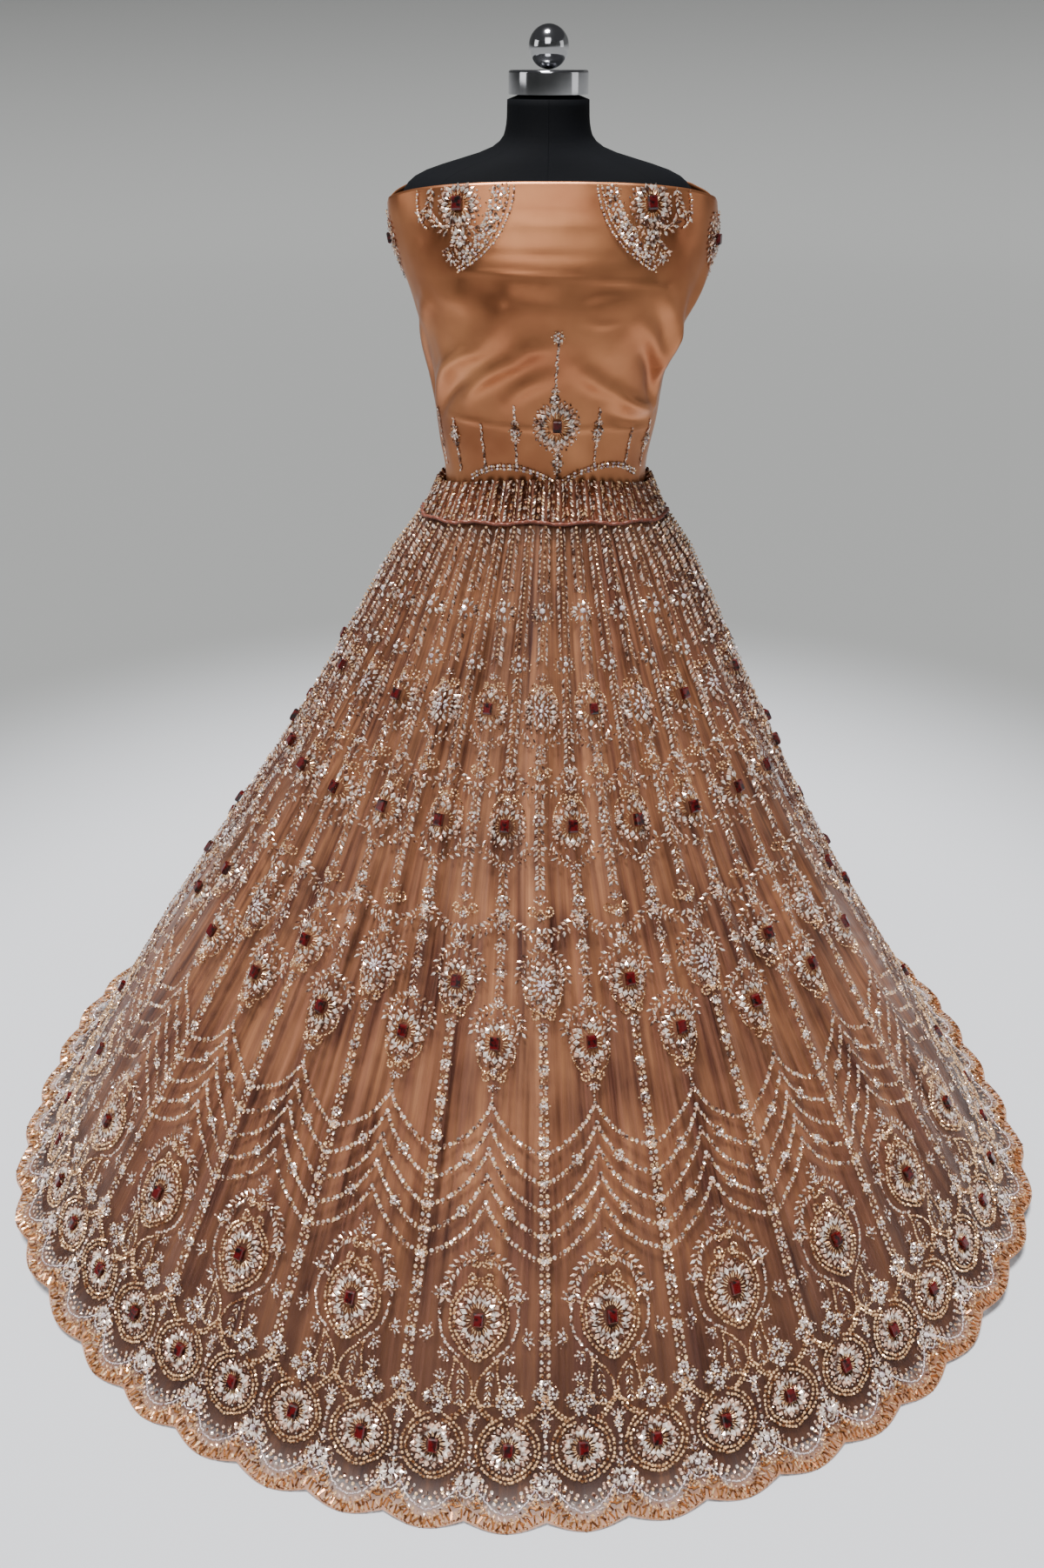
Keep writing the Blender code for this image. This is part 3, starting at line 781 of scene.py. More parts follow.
ROUND, LEAF, SEQUIN, BUGLE, STONE, CRYSTAL = range(6)
CUTS = [cut(build) for build in (round_cut, leaf_cut, sequin_cut, bugle_cut, stone_cut, crystal_cut)]
CUT_HEIGHTS = np.array((1.0, 0.45, 0.45, 1.0, 0.45, 0.6))
SEWN_TILT = 0.20
SEWN_DRIFT = 0.0004
BEAD_OFF_FLOOR = 0.0012
CORNER_OFF_FLOOR = 0.0002
SILVER, ROSE, GOLD, CLEAR, RED, BRONZE = range(6)


def beads(name, light, dark, roughness, metallic, constants=None):
    """A bead finish whose colour and gloss change from bead to bead: some beads get the light colour as a
    painted glint, others the dark one as painted shade.
    """
    made, sockets, spot, _ = material(name, light, roughness, metallic, constants)
    tint_and_glint = spot.noise(170.0, 1.0)
    tint_and_glint = tint_and_glint.node("ShaderNodeMapRange", None, {0: tint_and_glint, 1: 0.36, 2: 0.56, 3: 0.0, 4: 1.0})
    tint_and_glint.mixed(dark, light).feeds(sockets["Base Color"])
    (spot.noise(240.0, 1.0) * 0.2 + (roughness - 0.1)).feeds(sockets["Roughness"])
    return made


# Each finish's light colour is a painted glint and its dark colour painted shade.
FINISHES = [
    beads("silver_sequin", colour(255, 236, 222), colour(94, 68, 58), 0.18, 0.5),
    beads("rose_sequin", colour(248, 202, 174), colour(94, 58, 46), 0.20, 0.5),
    beads("gold_bead", colour(252, 208, 160), colour(118, 74, 48), 0.22, 0.5),
    beads("clear_crystal", colour(255, 244, 244), colour(196, 174, 182), 0.12, 0.3, {"Coat Weight": 0.6}),
    beads(
        "red_stone", colour(84, 6, 12), colour(22, 2, 4), 0.3, 0.0,
        {"Coat Weight": 0.4, "Coat Roughness": 0.2},
    ),
    beads("bronze_bugle", colour(176, 116, 70), colour(92, 56, 34), 0.26, 0.5),
]


def beadwork(name, rows, surface, step_across, step_down, seed):
    """One piece of beads on a surface. Each row is a bead: its cut, its finish, where it lies
    across and down the surface, its turn on the cloth, its length, its width and its lift."""
    kind, finish, across, down, turn, length, width, lift = np.vstack(rows).T
    right = unit(surface(across + step_across, down) - surface(across - step_across, down))
    low = unit(surface(across, down + step_down) - surface(across, down - step_down))
    outward = unit(np.cross(low, right))
    random = np.random.default_rng(seed)
    tilt = random.normal(0.0, SEWN_TILT, (2, len(kind), 1))
    tilt[:, kind == STONE] = 0.0
    normal = unit(outward + tilt[0] * right + tilt[1] * low)
    heading = np.cos(turn)[:, None] * right + np.sin(turn)[:, None] * low
    heading = unit(heading - (heading * normal).sum(-1, keepdims=True) * normal)
    side = np.cross(normal, heading)
    height = width * CUT_HEIGHTS[kind.astype(int)]
    drift = random.normal(0.0, SEWN_DRIFT, (2, len(kind), 1))
    centre = surface(across, down) + outward * (lift + height / 2)[:, None]
    centre = centre + drift[0] * right + drift[1] * low
    centre[:, 2] = np.maximum(centre[:, 2], BEAD_OFF_FLOOR)
    points, faces, paints = [], [], []
    for number, (corners, triangles) in enumerate(CUTS):
        here = kind == number
        x = (corners[:, 0] * length[here, None])[..., None] * heading[here, None]
        y = (corners[:, 1] * width[here, None])[..., None] * side[here, None]
        z = (corners[:, 2] * height[here, None])[..., None] * normal[here, None]
        first = sum(len(made) for made in points)
        starts = first + np.arange(here.sum()) * len(corners)
        points.append((centre[here, None] + x + y + z).reshape(-1, 3))
        faces.append((triangles[None] + starts[:, None, None]).reshape(-1, 3))
        paints.append(np.repeat(finish[here], len(triangles)))
    points = np.vstack(points)
    points[:, 2] = np.maximum(points[:, 2], CORNER_OFF_FLOOR)
    mesh = bpy.data.meshes.new(name)
    mesh.from_pydata(points.tolist(), [], np.vstack(faces).tolist())
    mesh.polygons.foreach_set("material_index", np.concatenate(paints).astype(np.int32))
    mesh.update()
    return finished(name, mesh, FINISHES)


def arc(x, y, wide, tall, start, end):
    """Points of an arc round (x, y), between these degrees clockwise from straight up."""
    turn = np.radians(np.linspace(start, end, 64))
    return np.stack((x + wide * np.sin(turn), y - tall * np.cos(turn)), -1)


def swag(start, towards, end):
    """Points of a soft curve from start to end, drawn towards a point."""
    along = np.linspace(0.0, 1.0, 40)[:, None]
    start, towards, end = np.array(start), np.array(towards), np.array(end)
    return (1 - along) ** 2 * start + 2 * along * (1 - along) * towards + along ** 2 * end


def spaced(path, pitch):
    """Even places along a path: across, down and the path's heading."""
    path = np.asarray(path, float)
    lengths = np.concatenate(((0.0,), np.cumsum(np.hypot(*np.diff(path, axis=0).T))))
    at = np.linspace(0.0, lengths[-1], max(2, round(lengths[-1] / pitch) + 1))
    x, y = np.interp(at, lengths, path[:, 0]), np.interp(at, lengths, path[:, 1])
    return x, y, np.arctan2(np.gradient(y), np.gradient(x))


def strung(path, kind, finishes, length, width, pitch, turn=0.0, sway=0.0):
    """Beads along a path, at this turn to it, swaying to one side and the other in turn."""
    rows = []
    for number, (x, y, heading) in enumerate(zip(*spaced(path, pitch))):
        lean = heading + turn + (sway if number % 2 else -sway)
        rows.append((kind, finishes[number % len(finishes)], x, y, lean, length, width, 0.0))
    return rows


def ring(reach, count, kind, finish, length, width, lift=0.0, start=0.0, tall=1.0):
    """Beads round a centre, all pointing outwards."""
    turns = 2.0 * math.pi * (np.arange(count) + start) / count
    x, y = reach * np.sin(turns), -reach * tall * np.cos(turns)
    return [(kind, finish, *row, length, width, lift) for row in zip(x, y, np.arctan2(y, x))]


def leafy(path, length, width, pitch, spread_deg=42.0, finishes=(SILVER, ROSE)):
    """Pairs of sequin leaves that branch off a path, with a small bead at each root."""
    rows = []
    for number, (x, y, heading) in enumerate(zip(*spaced(path, pitch))):
        rows.append((ROUND, GOLD, x, y, heading, width * 0.7, width * 0.7, 0.0))
        for side in (-1, 1):
            turn = heading + side * math.radians(spread_deg)
            reach = length * 0.62
            place = (x + reach * math.cos(turn), y + reach * math.sin(turn))
            rows.append((LEAF, finishes[number % len(finishes)], *place, turn, length, width, 0.0))
    return rows


def rosette(radius, petals=7):
    """A small flower: one crystal in a ring of petals."""
    wide = 2.0 * math.pi * radius / petals
    rows = [(CRYSTAL, CLEAR, 0.0, 0.0, 0.0, radius * 0.6, radius * 0.6, 0.0005)]
    rows += ring(radius * 0.74, petals, LEAF, SILVER, radius * 0.72, wide * 0.86)
    return rows + ring(radius * 1.16, petals, ROUND, GOLD, 0.0024, 0.0024, 0.0, 0.5)


def bloom(radius, petals, stone, tall=1.08):
    """A flower: a red stone in a ring of gold bugles, or a crystal heart, and two rings of petals."""
    wide = 2.0 * math.pi * radius / petals
    if stone:
        rows = [(STONE, RED, 0.0, 0.0, math.pi / 2, stone, stone * 0.76, 0.0008)]
        rows += ring(radius * 0.52, petals + 6, BUGLE, GOLD, radius * 0.26, 0.0016, 0.0, 0.0, tall * 1.05)
    else:
        rows = [(CRYSTAL, CLEAR, 0.0, 0.0, 0.0, radius * 0.28, radius * 0.28, 0.0012)]
        rows += ring(radius * 0.28, 8, LEAF, CLEAR, radius * 0.34, radius * 0.20, 0.0010)
        rows += ring(radius * 0.52, petals - 2, LEAF, SILVER, radius * 0.34, radius * 0.19, 0.0006, 0.5, tall)
    rows += ring(radius * 0.78, petals, LEAF, SILVER, radius * 0.46, wide * 0.90, 0.0004, 0.0, tall)
    rows += ring(radius * 1.02, petals, LEAF, ROSE, radius * 0.38, wide * 0.86, 0.0, 0.5, tall)
    return rows + ring(radius * 1.20, petals, ROUND, SILVER, 0.0027, 0.0027, 0.0, 0.0, tall)


def moved(rows, x, y, turn_deg=0.0, mirror=1):
    """The same beads turned, mirrored across and then moved."""
    turn = math.radians(turn_deg)
    made = []
    for kind, finish, across, down, heading, length, width, lift in rows:
        across, heading = (across, heading) if mirror > 0 else (-across, math.pi - heading)
        place = (
            x + across * math.cos(turn) - down * math.sin(turn),
            y + across * math.sin(turn) + down * math.cos(turn),
        )
        made.append((kind, finish, *place, heading + turn, length, width, lift))
    return made


def both(rows):
    """The beads and their mirror image."""
    return rows + moved(rows, 0.0, 0.0, 0.0, -1)


def under(rows):
    """The beads turned to hang down."""
    return moved(rows, 0.0, 0.0, 180.0)


def bud(size):
    """A small bud that opens upwards: five petals on a cup of beads."""
    rows = []
    for lean in (-76, -38, 0, 38, 76):
        turn = math.radians(lean - 90)
        place = (0.58 * size * math.cos(turn), 0.58 * size * math.sin(turn))
        rows.append((LEAF, SILVER, *place, turn, size * 0.60, size * 0.30, 0.0))
        tip = (0.98 * size * math.cos(turn), 0.98 * size * math.sin(turn))
        rows.append((SEQUIN, ROSE, *tip, turn, 0.0030, 0.0028, 0.0))
    rows.append((CRYSTAL, CLEAR, 0.0, 0.0, 0.0, size * 0.42, size * 0.42, 0.0004))
    cup = arc(0, 0, size * 0.38, size * 0.38, 110, 250)
    return rows + strung(cup, ROUND, (GOLD,), 0.0018, 0.0018, 0.0020)


def scroll(radius):
    """A curled tendril of gold beads, which starts at (0, 0) and curls outwards and up."""
    turn = np.linspace(0.0, 2.5 * math.pi, 70)
    reach = radius * (1.0 - 0.74 * turn / turn[-1])
    path = np.stack((radius - reach * np.cos(turn), reach * np.sin(turn)), -1)
    rows = strung(path, ROUND, (GOLD,), 0.0034, 0.0031, 0.0030)
    rows.append((SEQUIN, SILVER, radius, 0.0, 0.0, radius * 0.45, radius * 0.45, 0.0))
    return rows


SCROLL_GAP = 0.0012


def scroll_pair(radius):
    """Two scrolls back to back, with a bud above them and a crystal between."""
    rows = both(moved(scroll(radius), SCROLL_GAP, 0.0))
    rows += moved(bud(radius * 1.05), 0.0, -radius * 1.3)
    return rows + moved(rosette(0.0044, 6), 0.0, radius * 1.1)


def crown(wide, tall, reach_deg, leaf=0.0085):
    """An arch of leaves over a flower, from one side to the other."""
    half = leafy(arc(0, 0, wide, tall, 10, reach_deg), leaf, leaf * 0.46, leaf * 0.80, 50.0)
    return both(half) + moved(bud(leaf), 0.0, -tall - leaf * 0.5)


def brackets(wide, high):
    """Thin gold arcs that come down from the scrolls on both sides of a flower."""
    path = swag((wide * 0.55, -high), (wide * 1.15, -high * 0.80), (wide * 1.12, -high * 0.25))
    return both(strung(path, ROUND, (GOLD,), 0.0027, 0.0023, 0.0025))


def paisley(height):
    """A paisley: a beaded outline whose tip curls out, over a leafy vein."""
    turn = np.linspace(0.04, 2 * math.pi - 0.04, 90)
    wide = height * 0.36 * np.sin(turn) * np.abs(np.sin(turn / 2)) ** 1.1
    tall = -0.5 * height * np.cos(turn)
    curl = 0.20 * height * np.clip(-tall / height, 0.0, 1.0) ** 2 * 4
    rows = strung(np.stack((wide + curl, tall), -1), ROUND, (GOLD,), 0.0036, 0.0033, 0.0034)
    vein = swag((height * 0.05, -height * 0.26), (0.0, 0.0), (0.0, height * 0.38))
    return rows + leafy(vein, 0.0062, 0.0026, 0.0050, 38.0, (SILVER, GOLD))


EGG_OPENING_DEG = 16
EGG_DROOP = 0.10


def egg(wide, tall):
    """Points of an oval that is open at its top and pointed a little at its foot."""
    path = arc(0, 0, wide, tall, EGG_OPENING_DEG, 360 - EGG_OPENING_DEG)
    low = np.clip(path[:, 1] / tall, 0.0, 1.0)
    path[:, 0] *= 1.0 - 0.35 * low ** 3
    path[:, 1] += EGG_DROOP * tall * low ** 4
    return path


CORD_GAP = 0.0054


def ringed_bloom(wide, tall, stone, petals, flower):
    """A flower in an oval ring of two rows of gold beads."""
    rows = []
    for inward in (0.0, CORD_GAP):
        rows += strung(egg(wide - inward, tall - inward), ROUND, (GOLD,), 0.0045, 0.0039, 0.0047)
    return rows + bloom(wide * flower, petals, stone, min(1.15, tall / wide))


# Skirt embroidery: chains of leaves run down every seam and every panel's middle, and carry
# rows of flowers, scrolls and garlands that line up round the skirt.

def panel_width(slant):
    half = 180.0 / PANEL_COUNT
    return float(np.linalg.norm(skirt_base(half, slant) - skirt_base(-half, slant)))


def on_skirt(rows, panels, slant):
    """A motif's beads at each of these places, counted in panels, round the skirt."""
    part = np.array(rows, float)
    made = np.tile(part, (len(panels), 1, 1))
    made[:, :, 2] = panels[:, None] + part[:, 2] / panel_width(slant)
    made[:, :, 3] = slant + part[:, 3] / SLANT_LENGTH
    return made.reshape(-1, part.shape[1])


def drop(start, end, aside=0.0):
    """A straight path down the skirt between two shares of its slant."""
    return ((aside, 0.0), (aside, (end - start) * SLANT_LENGTH))


SEAMS = np.arange(PANEL_COUNT, dtype=float)
MIDDLES = SEAMS + 0.5
EVEN_SEAMS, ODD_SEAMS = SEAMS[::2], SEAMS[1::2]
QUARTERS = np.sort(np.concatenate((SEAMS + 0.25, SEAMS + 0.75)))
GARLANDS = ((0.296, 0.319), (0.436, 0.458))
ROW_A, ROW_B, ROW_C, ROW_D = 0.239, 0.354, 0.506, 0.561
LONG_STONE = 0.0150

# Leaf chains: (where it is, first and last slant, leaf length, pitch).
CHAINS = (
    (SEAMS, 0.050, 0.108, 0.0100, 0.0064),
    (SEAMS, 0.153, 0.188, 0.0094, 0.0064),
    (SEAMS, 0.280, 0.292, 0.0080, 0.0062),
    (SEAMS, 0.326, 0.340, 0.0080, 0.0062),
    (SEAMS, 0.355, 0.382, 0.0088, 0.0064),
    (SEAMS, 0.390, 0.410, 0.0082, 0.0064),
    (MIDDLES, 0.050, 0.174, 0.0086, 0.0060),
    (MIDDLES, 0.206, 0.286, 0.0080, 0.0060),
    (MIDDLES, 0.398, 0.420, 0.0080, 0.0062),
)
upper = []
for place, start, end, leaf, pitch in CHAINS:
    upper.append(on_skirt(leafy(drop(start, end), leaf, leaf * 0.54, pitch), place, start))
upper.append(on_skirt(bud(0.0080), SEAMS, 0.117))
upper.append(on_skirt(rosette(0.0128, 13), SEAMS, 0.138))
upper.append(on_skirt(rosette(0.0108, 11), MIDDLES, 0.192))
row_a = moved(scroll_pair(0.0064), 0.0, -0.0300) + brackets(0.0190, 0.0270)
row_a += moved(under(crown(0.0240, 0.0160, 78.0, 0.0078)), 0.0, 0.0240)
upper.append(on_skirt(row_a + bloom(0.0205, 16, 0), EVEN_SEAMS, ROW_A))
upper.append(on_skirt(row_a + bloom(0.0180, 15, LONG_STONE * 0.9, 1.2), ODD_SEAMS, ROW_A))
upper.append(on_skirt(scroll_pair(0.0070), SEAMS, 0.299))
upper.append(on_skirt(rosette(0.0075), SEAMS, 0.347))
upper.append(on_skirt(scroll_pair(0.0076), SEAMS, 0.435))
row_b = moved(scroll_pair(0.0062), 0.0, -0.0350) + brackets(0.0200, 0.0300)
row_b += moved(under(crown(0.0280, 0.0190, 80.0)), 0.0, 0.0220) + bloom(0.0205, 16, LONG_STONE)
upper.append(on_skirt(row_b, MIDDLES, ROW_B))
upper.append(on_skirt(rosette(0.0070), MIDDLES, 0.426))
beadwork("upper_embroidery", upper, net_point, 0.02, 0.002, 51)

middle = []
for peak, dip in GARLANDS:
    half = panel_width(peak) / 2
    fall = (dip - peak) * SLANT_LENGTH
    arm = swag((0.0, 0.0), (half * 0.45, fall * 1.15), (half, fall))
    middle.append(on_skirt(both(leafy(arm, 0.0095, 0.0044, 0.0074, 56.0)), MIDDLES, peak))
    middle.append(on_skirt(bud(0.0085), MIDDLES, peak + 0.004))
middle.append(on_skirt(under(bud(0.0075)), SEAMS, GARLANDS[1][1] + 0.008))
row_c = moved(crown(0.0290, 0.0270, 98.0), 0.0, -0.0110) + moved(under(scroll_pair(0.0066)), 0.0, 0.0350)
row_c += under(brackets(0.0190, 0.0290))
middle.append(on_skirt(row_c + bloom(0.0205, 16, 0, 1.2), EVEN_SEAMS, ROW_C))
middle.append(on_skirt(row_c + bloom(0.0200, 16, LONG_STONE), ODD_SEAMS, ROW_C))
bud_pair = moved(bud(0.0078), 0.0, 0.004) + moved(under(bud(0.0070)), 0.0, -0.004)
for slant in (0.446, 0.470, 0.494):
    middle.append(on_skirt(bud_pair, MIDDLES, slant))
middle.append(on_skirt(leafy(drop(0.450, 0.522), 0.0066, 0.0030, 0.0068), MIDDLES, 0.450))
row_d = moved(crown(0.0300, 0.0200, 104.0), 0.0, -0.0185) + moved(under(scroll_pair(0.0066)), 0.0, 0.0390)
row_d += under(brackets(0.0200, 0.0320)) + bloom(0.0210, 16, LONG_STONE, 1.15)
middle.append(on_skirt(row_d, MIDDLES, ROW_D))
tail = strung(drop(0.604, 0.618), ROUND, (SILVER, GOLD), 0.0030, 0.0030, 0.0040)
middle.append(on_skirt(tail, MIDDLES, 0.604))

# Pairs of sequins carry on down the seams to the hem, with a rosette now and then.
PAIR_CHAIN = (0.548, 0.862)
for aside in (-0.0028, 0.0028):
    chain = strung(drop(*PAIR_CHAIN, aside), SEQUIN, (SILVER, ROSE, GOLD), 0.0056, 0.0050, 0.0070, 0.0, 0.5)
    middle.append(on_skirt(chain, SEAMS, PAIR_CHAIN[0]))
chain = strung(drop(*PAIR_CHAIN), ROUND, (GOLD,), 0.0026, 0.0026, 0.0070)
middle.append(on_skirt(chain, SEAMS, PAIR_CHAIN[0] + 0.003))
for slant in (0.584, 0.618, 0.650, 0.786, 0.826):
    middle.append(on_skirt(rosette(0.0060, 6), SEAMS, slant))
beadwork("middle_embroidery", middle, net_point, 0.02, 0.002, 52)


# Lower embroidery: five zigzag rows of looped beads, then a large oval flower in each panel
# with its arch, scrolls and side stems, and a pair of paisleys under it.

# Zigzag rows: (slant of the peak in mid panel, slant of the valley on the seam, has crystals).
ZIGZAGS = (
    (0.617, 0.662, False),
    (0.636, 0.688, True),
    (0.658, 0.713, False),
    (0.682, 0.736, True),
    (0.706, 0.757, False),
)
lower = []
for peak, valley, jewelled in ZIGZAGS:
    half = panel_width((peak + valley) / 2) / 2
    fall = (valley - peak) * SLANT_LENGTH
    reach = half * panel_width(peak) / panel_width((peak + valley) / 2)
    arm = swag((0.0, 0.0), (half * 0.34, fall * 0.80), (reach, fall))
    rows = strung(arm, SEQUIN, (SILVER, ROSE, SILVER, GOLD), 0.0056, 0.0050, 0.0058, 0.0, 0.7)
    rows += strung(arm + (0.0, 0.0034), ROUND, (ROSE, GOLD), 0.0026, 0.0024, 0.0058)
    if jewelled:
        x, y, _ = spaced(arm, 0.001)
        rows += moved(rosette(0.0062, 6), x[len(x) // 2], y[len(y) // 2])
    lower.append(on_skirt(both(rows), MIDDLES, peak))
    lower.append(on_skirt(rosette(0.0046, 6), SEAMS, valley))

OVAL_SLANT = 0.809
oval = ringed_bloom(0.0345, 0.0395, LONG_STONE, 20, 0.68)
oval += moved(crown(0.0420, 0.0400, 100.0, 0.0094), 0.0, -0.0265)
oval += moved(bud(0.0100), 0.0, -0.0830)
oval += both(moved(scroll(0.0062), 0.0014, -0.0600)) + both(moved(scroll(0.0080), 0.0016, -0.0430))
stem = swag((0.0470, -0.0150), (0.0500, 0.0260), (0.0200, 0.0400))
oval += both(strung(stem, SEQUIN, (ROSE, SILVER), 0.0046, 0.0036, 0.0042, 0.0, 0.5))

# Buds on the oval's side stems: (across, down, lean in degrees, size).
STEM_BUDS = ((0.0480, -0.0210, 4, 0.0105), (0.0560, 0.0200, 80, 0.0105), (0.0350, 0.0390, 130, 0.0085))
for x, y, lean, size in STEM_BUDS:
    oval += both(moved(bud(size), x, y, lean))
oval += both(moved(paisley(0.0480), 0.0150, 0.0660))
oval += moved(rosette(0.0062), 0.0, 0.0340)
lower.append(on_skirt(oval, MIDDLES, OVAL_SLANT))
beadwork("lower_embroidery", lower, net_point, 0.02, 0.002, 53)


# Hem embroidery: two round medallions a panel under a beaded swag, with clusters of buds
# above them, strings and fan rosettes between, and a band of sequins along the scallops.

MEDALLION_SLANT = 0.920
quarter = panel_width(MEDALLION_SLANT) / 4
medallion = ringed_bloom(0.0370, 0.0330, LONG_STONE, 18, 0.60)
for lower_by in (0.0, CORD_GAP):
    peak = (quarter, -0.0560 + lower_by)
    bend = (quarter * 0.62, -0.0340 + lower_by)
    foot = (0.0200, -0.0330 + lower_by * 0.6)
    medallion += both(strung(swag(peak, bend, foot), ROUND, (GOLD,), 0.0043, 0.0037, 0.0047))

# The cluster over a medallion: (across, down, size of the rosette).
CLUSTER = (
    (0.0, -0.0400, 0.0078),
    (0.0120, -0.0490, 0.0064),
    (-0.0120, -0.0490, 0.0064),
    (0.0, -0.0570, 0.0070),
)
for x, y, size in CLUSTER:
    medallion += moved(rosette(size), x, y)
medallion += moved(bud(0.0088), 0.0, -0.0690)
hem = [on_skirt(medallion, QUARTERS, MEDALLION_SLANT)]

STRING = (0.892, 0.932)
between = moved(bud(0.0085), 0.0, 0.0030) + moved(rosette(0.0050), 0.0, 0.0100)
between += strung(drop(*STRING), SEQUIN, (ROSE, SILVER), 0.0054, 0.0048, 0.0060, 0.0, 0.5)
between += moved(bud(0.0085), 0.0, 0.0520) + moved(rosette(0.0135, 13), 0.0, 0.0690)
hem.append(on_skirt(between, np.concatenate((SEAMS, MIDDLES)), STRING[0]))
for x, slant in ((0.0, 0.864), (0.0085, 0.872), (-0.0085, 0.872), (0.0, 0.880)):
    hem.append(on_skirt(moved(rosette(0.0066), x, 0.0), SEAMS, slant))
beadwork("hem_medallions", hem, net_point, 0.02, 0.002, 54)

# The scalloped border: a silver cord in wide and narrow arcs, sequins above it, gold fans
# below it and a corded edge.
INNER_CORD = 0.957
border = []
WIDE_ARC = ((-0.76 * quarter, 0.0), (0.0, 0.060), (0.76 * quarter, 0.0))
NARROW_ARC = ((-0.26 * quarter, 0.0), (0.0, 0.024), (0.26 * quarter, 0.0))

# Rows beside the cord: (how far below it, cut, finishes, length, width, pitch, turn).
BORDER_ROWS = (
    (0.0000, ROUND, (CLEAR,), 0.0034, 0.0022, 0.0030, 0.0),
    (-0.0065, SEQUIN, (SILVER, ROSE), 0.0048, 0.0044, 0.0078, 0.3),
    (-0.0125, SEQUIN, (GOLD, ROSE), 0.0046, 0.0042, 0.0084, 0.6),
    (-0.0190, SEQUIN, (ROSE, SILVER), 0.0046, 0.0042, 0.0092, 0.2),
    (0.0062, LEAF, (ROSE, SILVER, GOLD), 0.0066, 0.0034, 0.0066, 0.9),
    (0.0118, ROUND, (GOLD,), 0.0038, 0.0034, 0.0042, 0.0),
    (0.0176, BUGLE, (BRONZE, BRONZE, GOLD), 0.0084, 0.0026, 0.0056, 1.57),
)
for arc_points, places in ((WIDE_ARC, QUARTERS), (NARROW_ARC, np.concatenate((SEAMS, MIDDLES)))):
    path = swag(*arc_points)
    for below, kind, finishes, length, width, pitch, turn in BORDER_ROWS:
        row = strung(path + (0.0, below), kind, finishes, length, width, pitch, turn, 0.35)
        border.append(on_skirt(row, places, INNER_CORD))
share = np.linspace(0.0, 0.5, 60)
edge_fall = -SCALLOP_DEPTH * SLANT_LENGTH * (1.0 - np.sin(2 * math.pi * share))
edge = np.stack(((share - 0.25) * 4 * quarter, edge_fall), -1)
edge_cord = strung(edge - (0.0, 0.0012), ROUND, (BRONZE, GOLD), 0.0026, 0.0021, 0.0026)
border.append(on_skirt(edge_cord, QUARTERS, 0.9995))
fans = strung(edge - (0.0, 0.0075), BUGLE, (BRONZE, GOLD, BRONZE), 0.0092, 0.0028, 0.0054, math.pi / 2, 0.30)
border.append(on_skirt(fans, QUARTERS, 0.9995))
for rows in border:
    rows[:, 3] = np.minimum(rows[:, 3], 0.9985)
beadwork("hem_border", border, net_point, 0.02, 0.001, 55)


# Yoke beads: every puff of the band carries two columns of leaf sequins that meet in
# chevrons, with round sequins along the valleys.

rng = np.random.default_rng(61)
rows = []
YOKE_ROWS = 13
CHEVRON = 0.6

# Beads on a puff: (how far from its crest in panels, cut, length, width).
PUFF_BEADS = (
    (-0.200, SEQUIN, 0.0042, 0.0040),
    (-0.085, LEAF, 0.0062, 0.0034),
    (0.085, LEAF, 0.0062, 0.0034),
    (0.200, SEQUIN, 0.0042, 0.0040),
)
for row in range(YOKE_ROWS):
    slant = (row + 0.3) / YOKE_ROWS * YOKE_END * 0.98
    for crest in np.arange(PANEL_COUNT * 2) / 2:
        for aside, kind, length, width in PUFF_BEADS:
            if kind == SEQUIN and rng.random() < 0.3:
                continue
            finish = rng.choice((SILVER, ROSE, GOLD))
            place = crest + aside + rng.normal(0.0, 0.010)
            turn = math.pi / 2 + math.copysign(CHEVRON, aside) + rng.normal(0.0, 0.12)
            rows.append((kind, finish, place, slant, turn, length, width, 0.0))
beadwork("yoke_beads", rows, yoke_point, 0.02, 0.001, 62)


# Choli embroidery: a stoned flower, leaf sprays and a curved double cord at each shoulder,
# and a row of bead strings with a larger flower over the waist. The back has the same.

def choli_place(turn, depth):
    return choli_point(turn, CHOLI_TOP_FRONT - depth, 0.0004)


def on_choli(rows, turn, height):
    """A motif's beads round this place of the choli, in degrees and metres. None passes its top."""
    part = np.array(rows, float)
    depth = np.array(CHOLI_TOP_FRONT - height)
    ends = choli_place(np.array(turn + 2.0), depth), choli_place(np.array(turn - 2.0), depth)
    a_degree = float(np.linalg.norm(ends[0] - ends[1])) / 4.0
    part[:, 2] = turn + part[:, 2] / a_degree
    part[:, 3] += depth
    return part[CHOLI_TOP_FRONT - part[:, 3] < choli_top(part[:, 2]) - 0.0015]


shoulder = bloom(0.0200, 19, LONG_STONE)
shoulder += both(leafy(swag((0.004, 0.020), (0.018, 0.036), (0.034, 0.014)), 0.0082, 0.0038, 0.0064))
shoulder += leafy(swag((0.0, 0.026), (-0.002, 0.040), (-0.018, 0.050)), 0.0082, 0.0038, 0.0062)
shoulder += moved(rosette(0.0085, 8), -0.001, 0.034) + moved(bud(0.0095), -0.016, 0.054, 200)
for inward in (0.0, 0.0042):
    path = swag((0.0540 - inward, -0.0215), (0.0530 - inward, 0.0420 - inward), (-0.0110, 0.0700 - inward))
    shoulder += strung(path, ROUND, (CLEAR, GOLD), 0.0034, 0.0028, 0.0032)
star_path = swag((0.0415, -0.0260), (0.0400, 0.0350), (-0.0110, 0.0600))
for x, y, _ in list(zip(*spaced(star_path, 0.0135)))[:-1]:
    shoulder += moved(rosette(0.0070, 7), x, y)
outer_path = swag((-0.056, -0.014), (-0.060, 0.020), (-0.042, 0.026))
shoulder += strung(outer_path, ROUND, (CLEAR, GOLD), 0.0030, 0.0026, 0.0030)
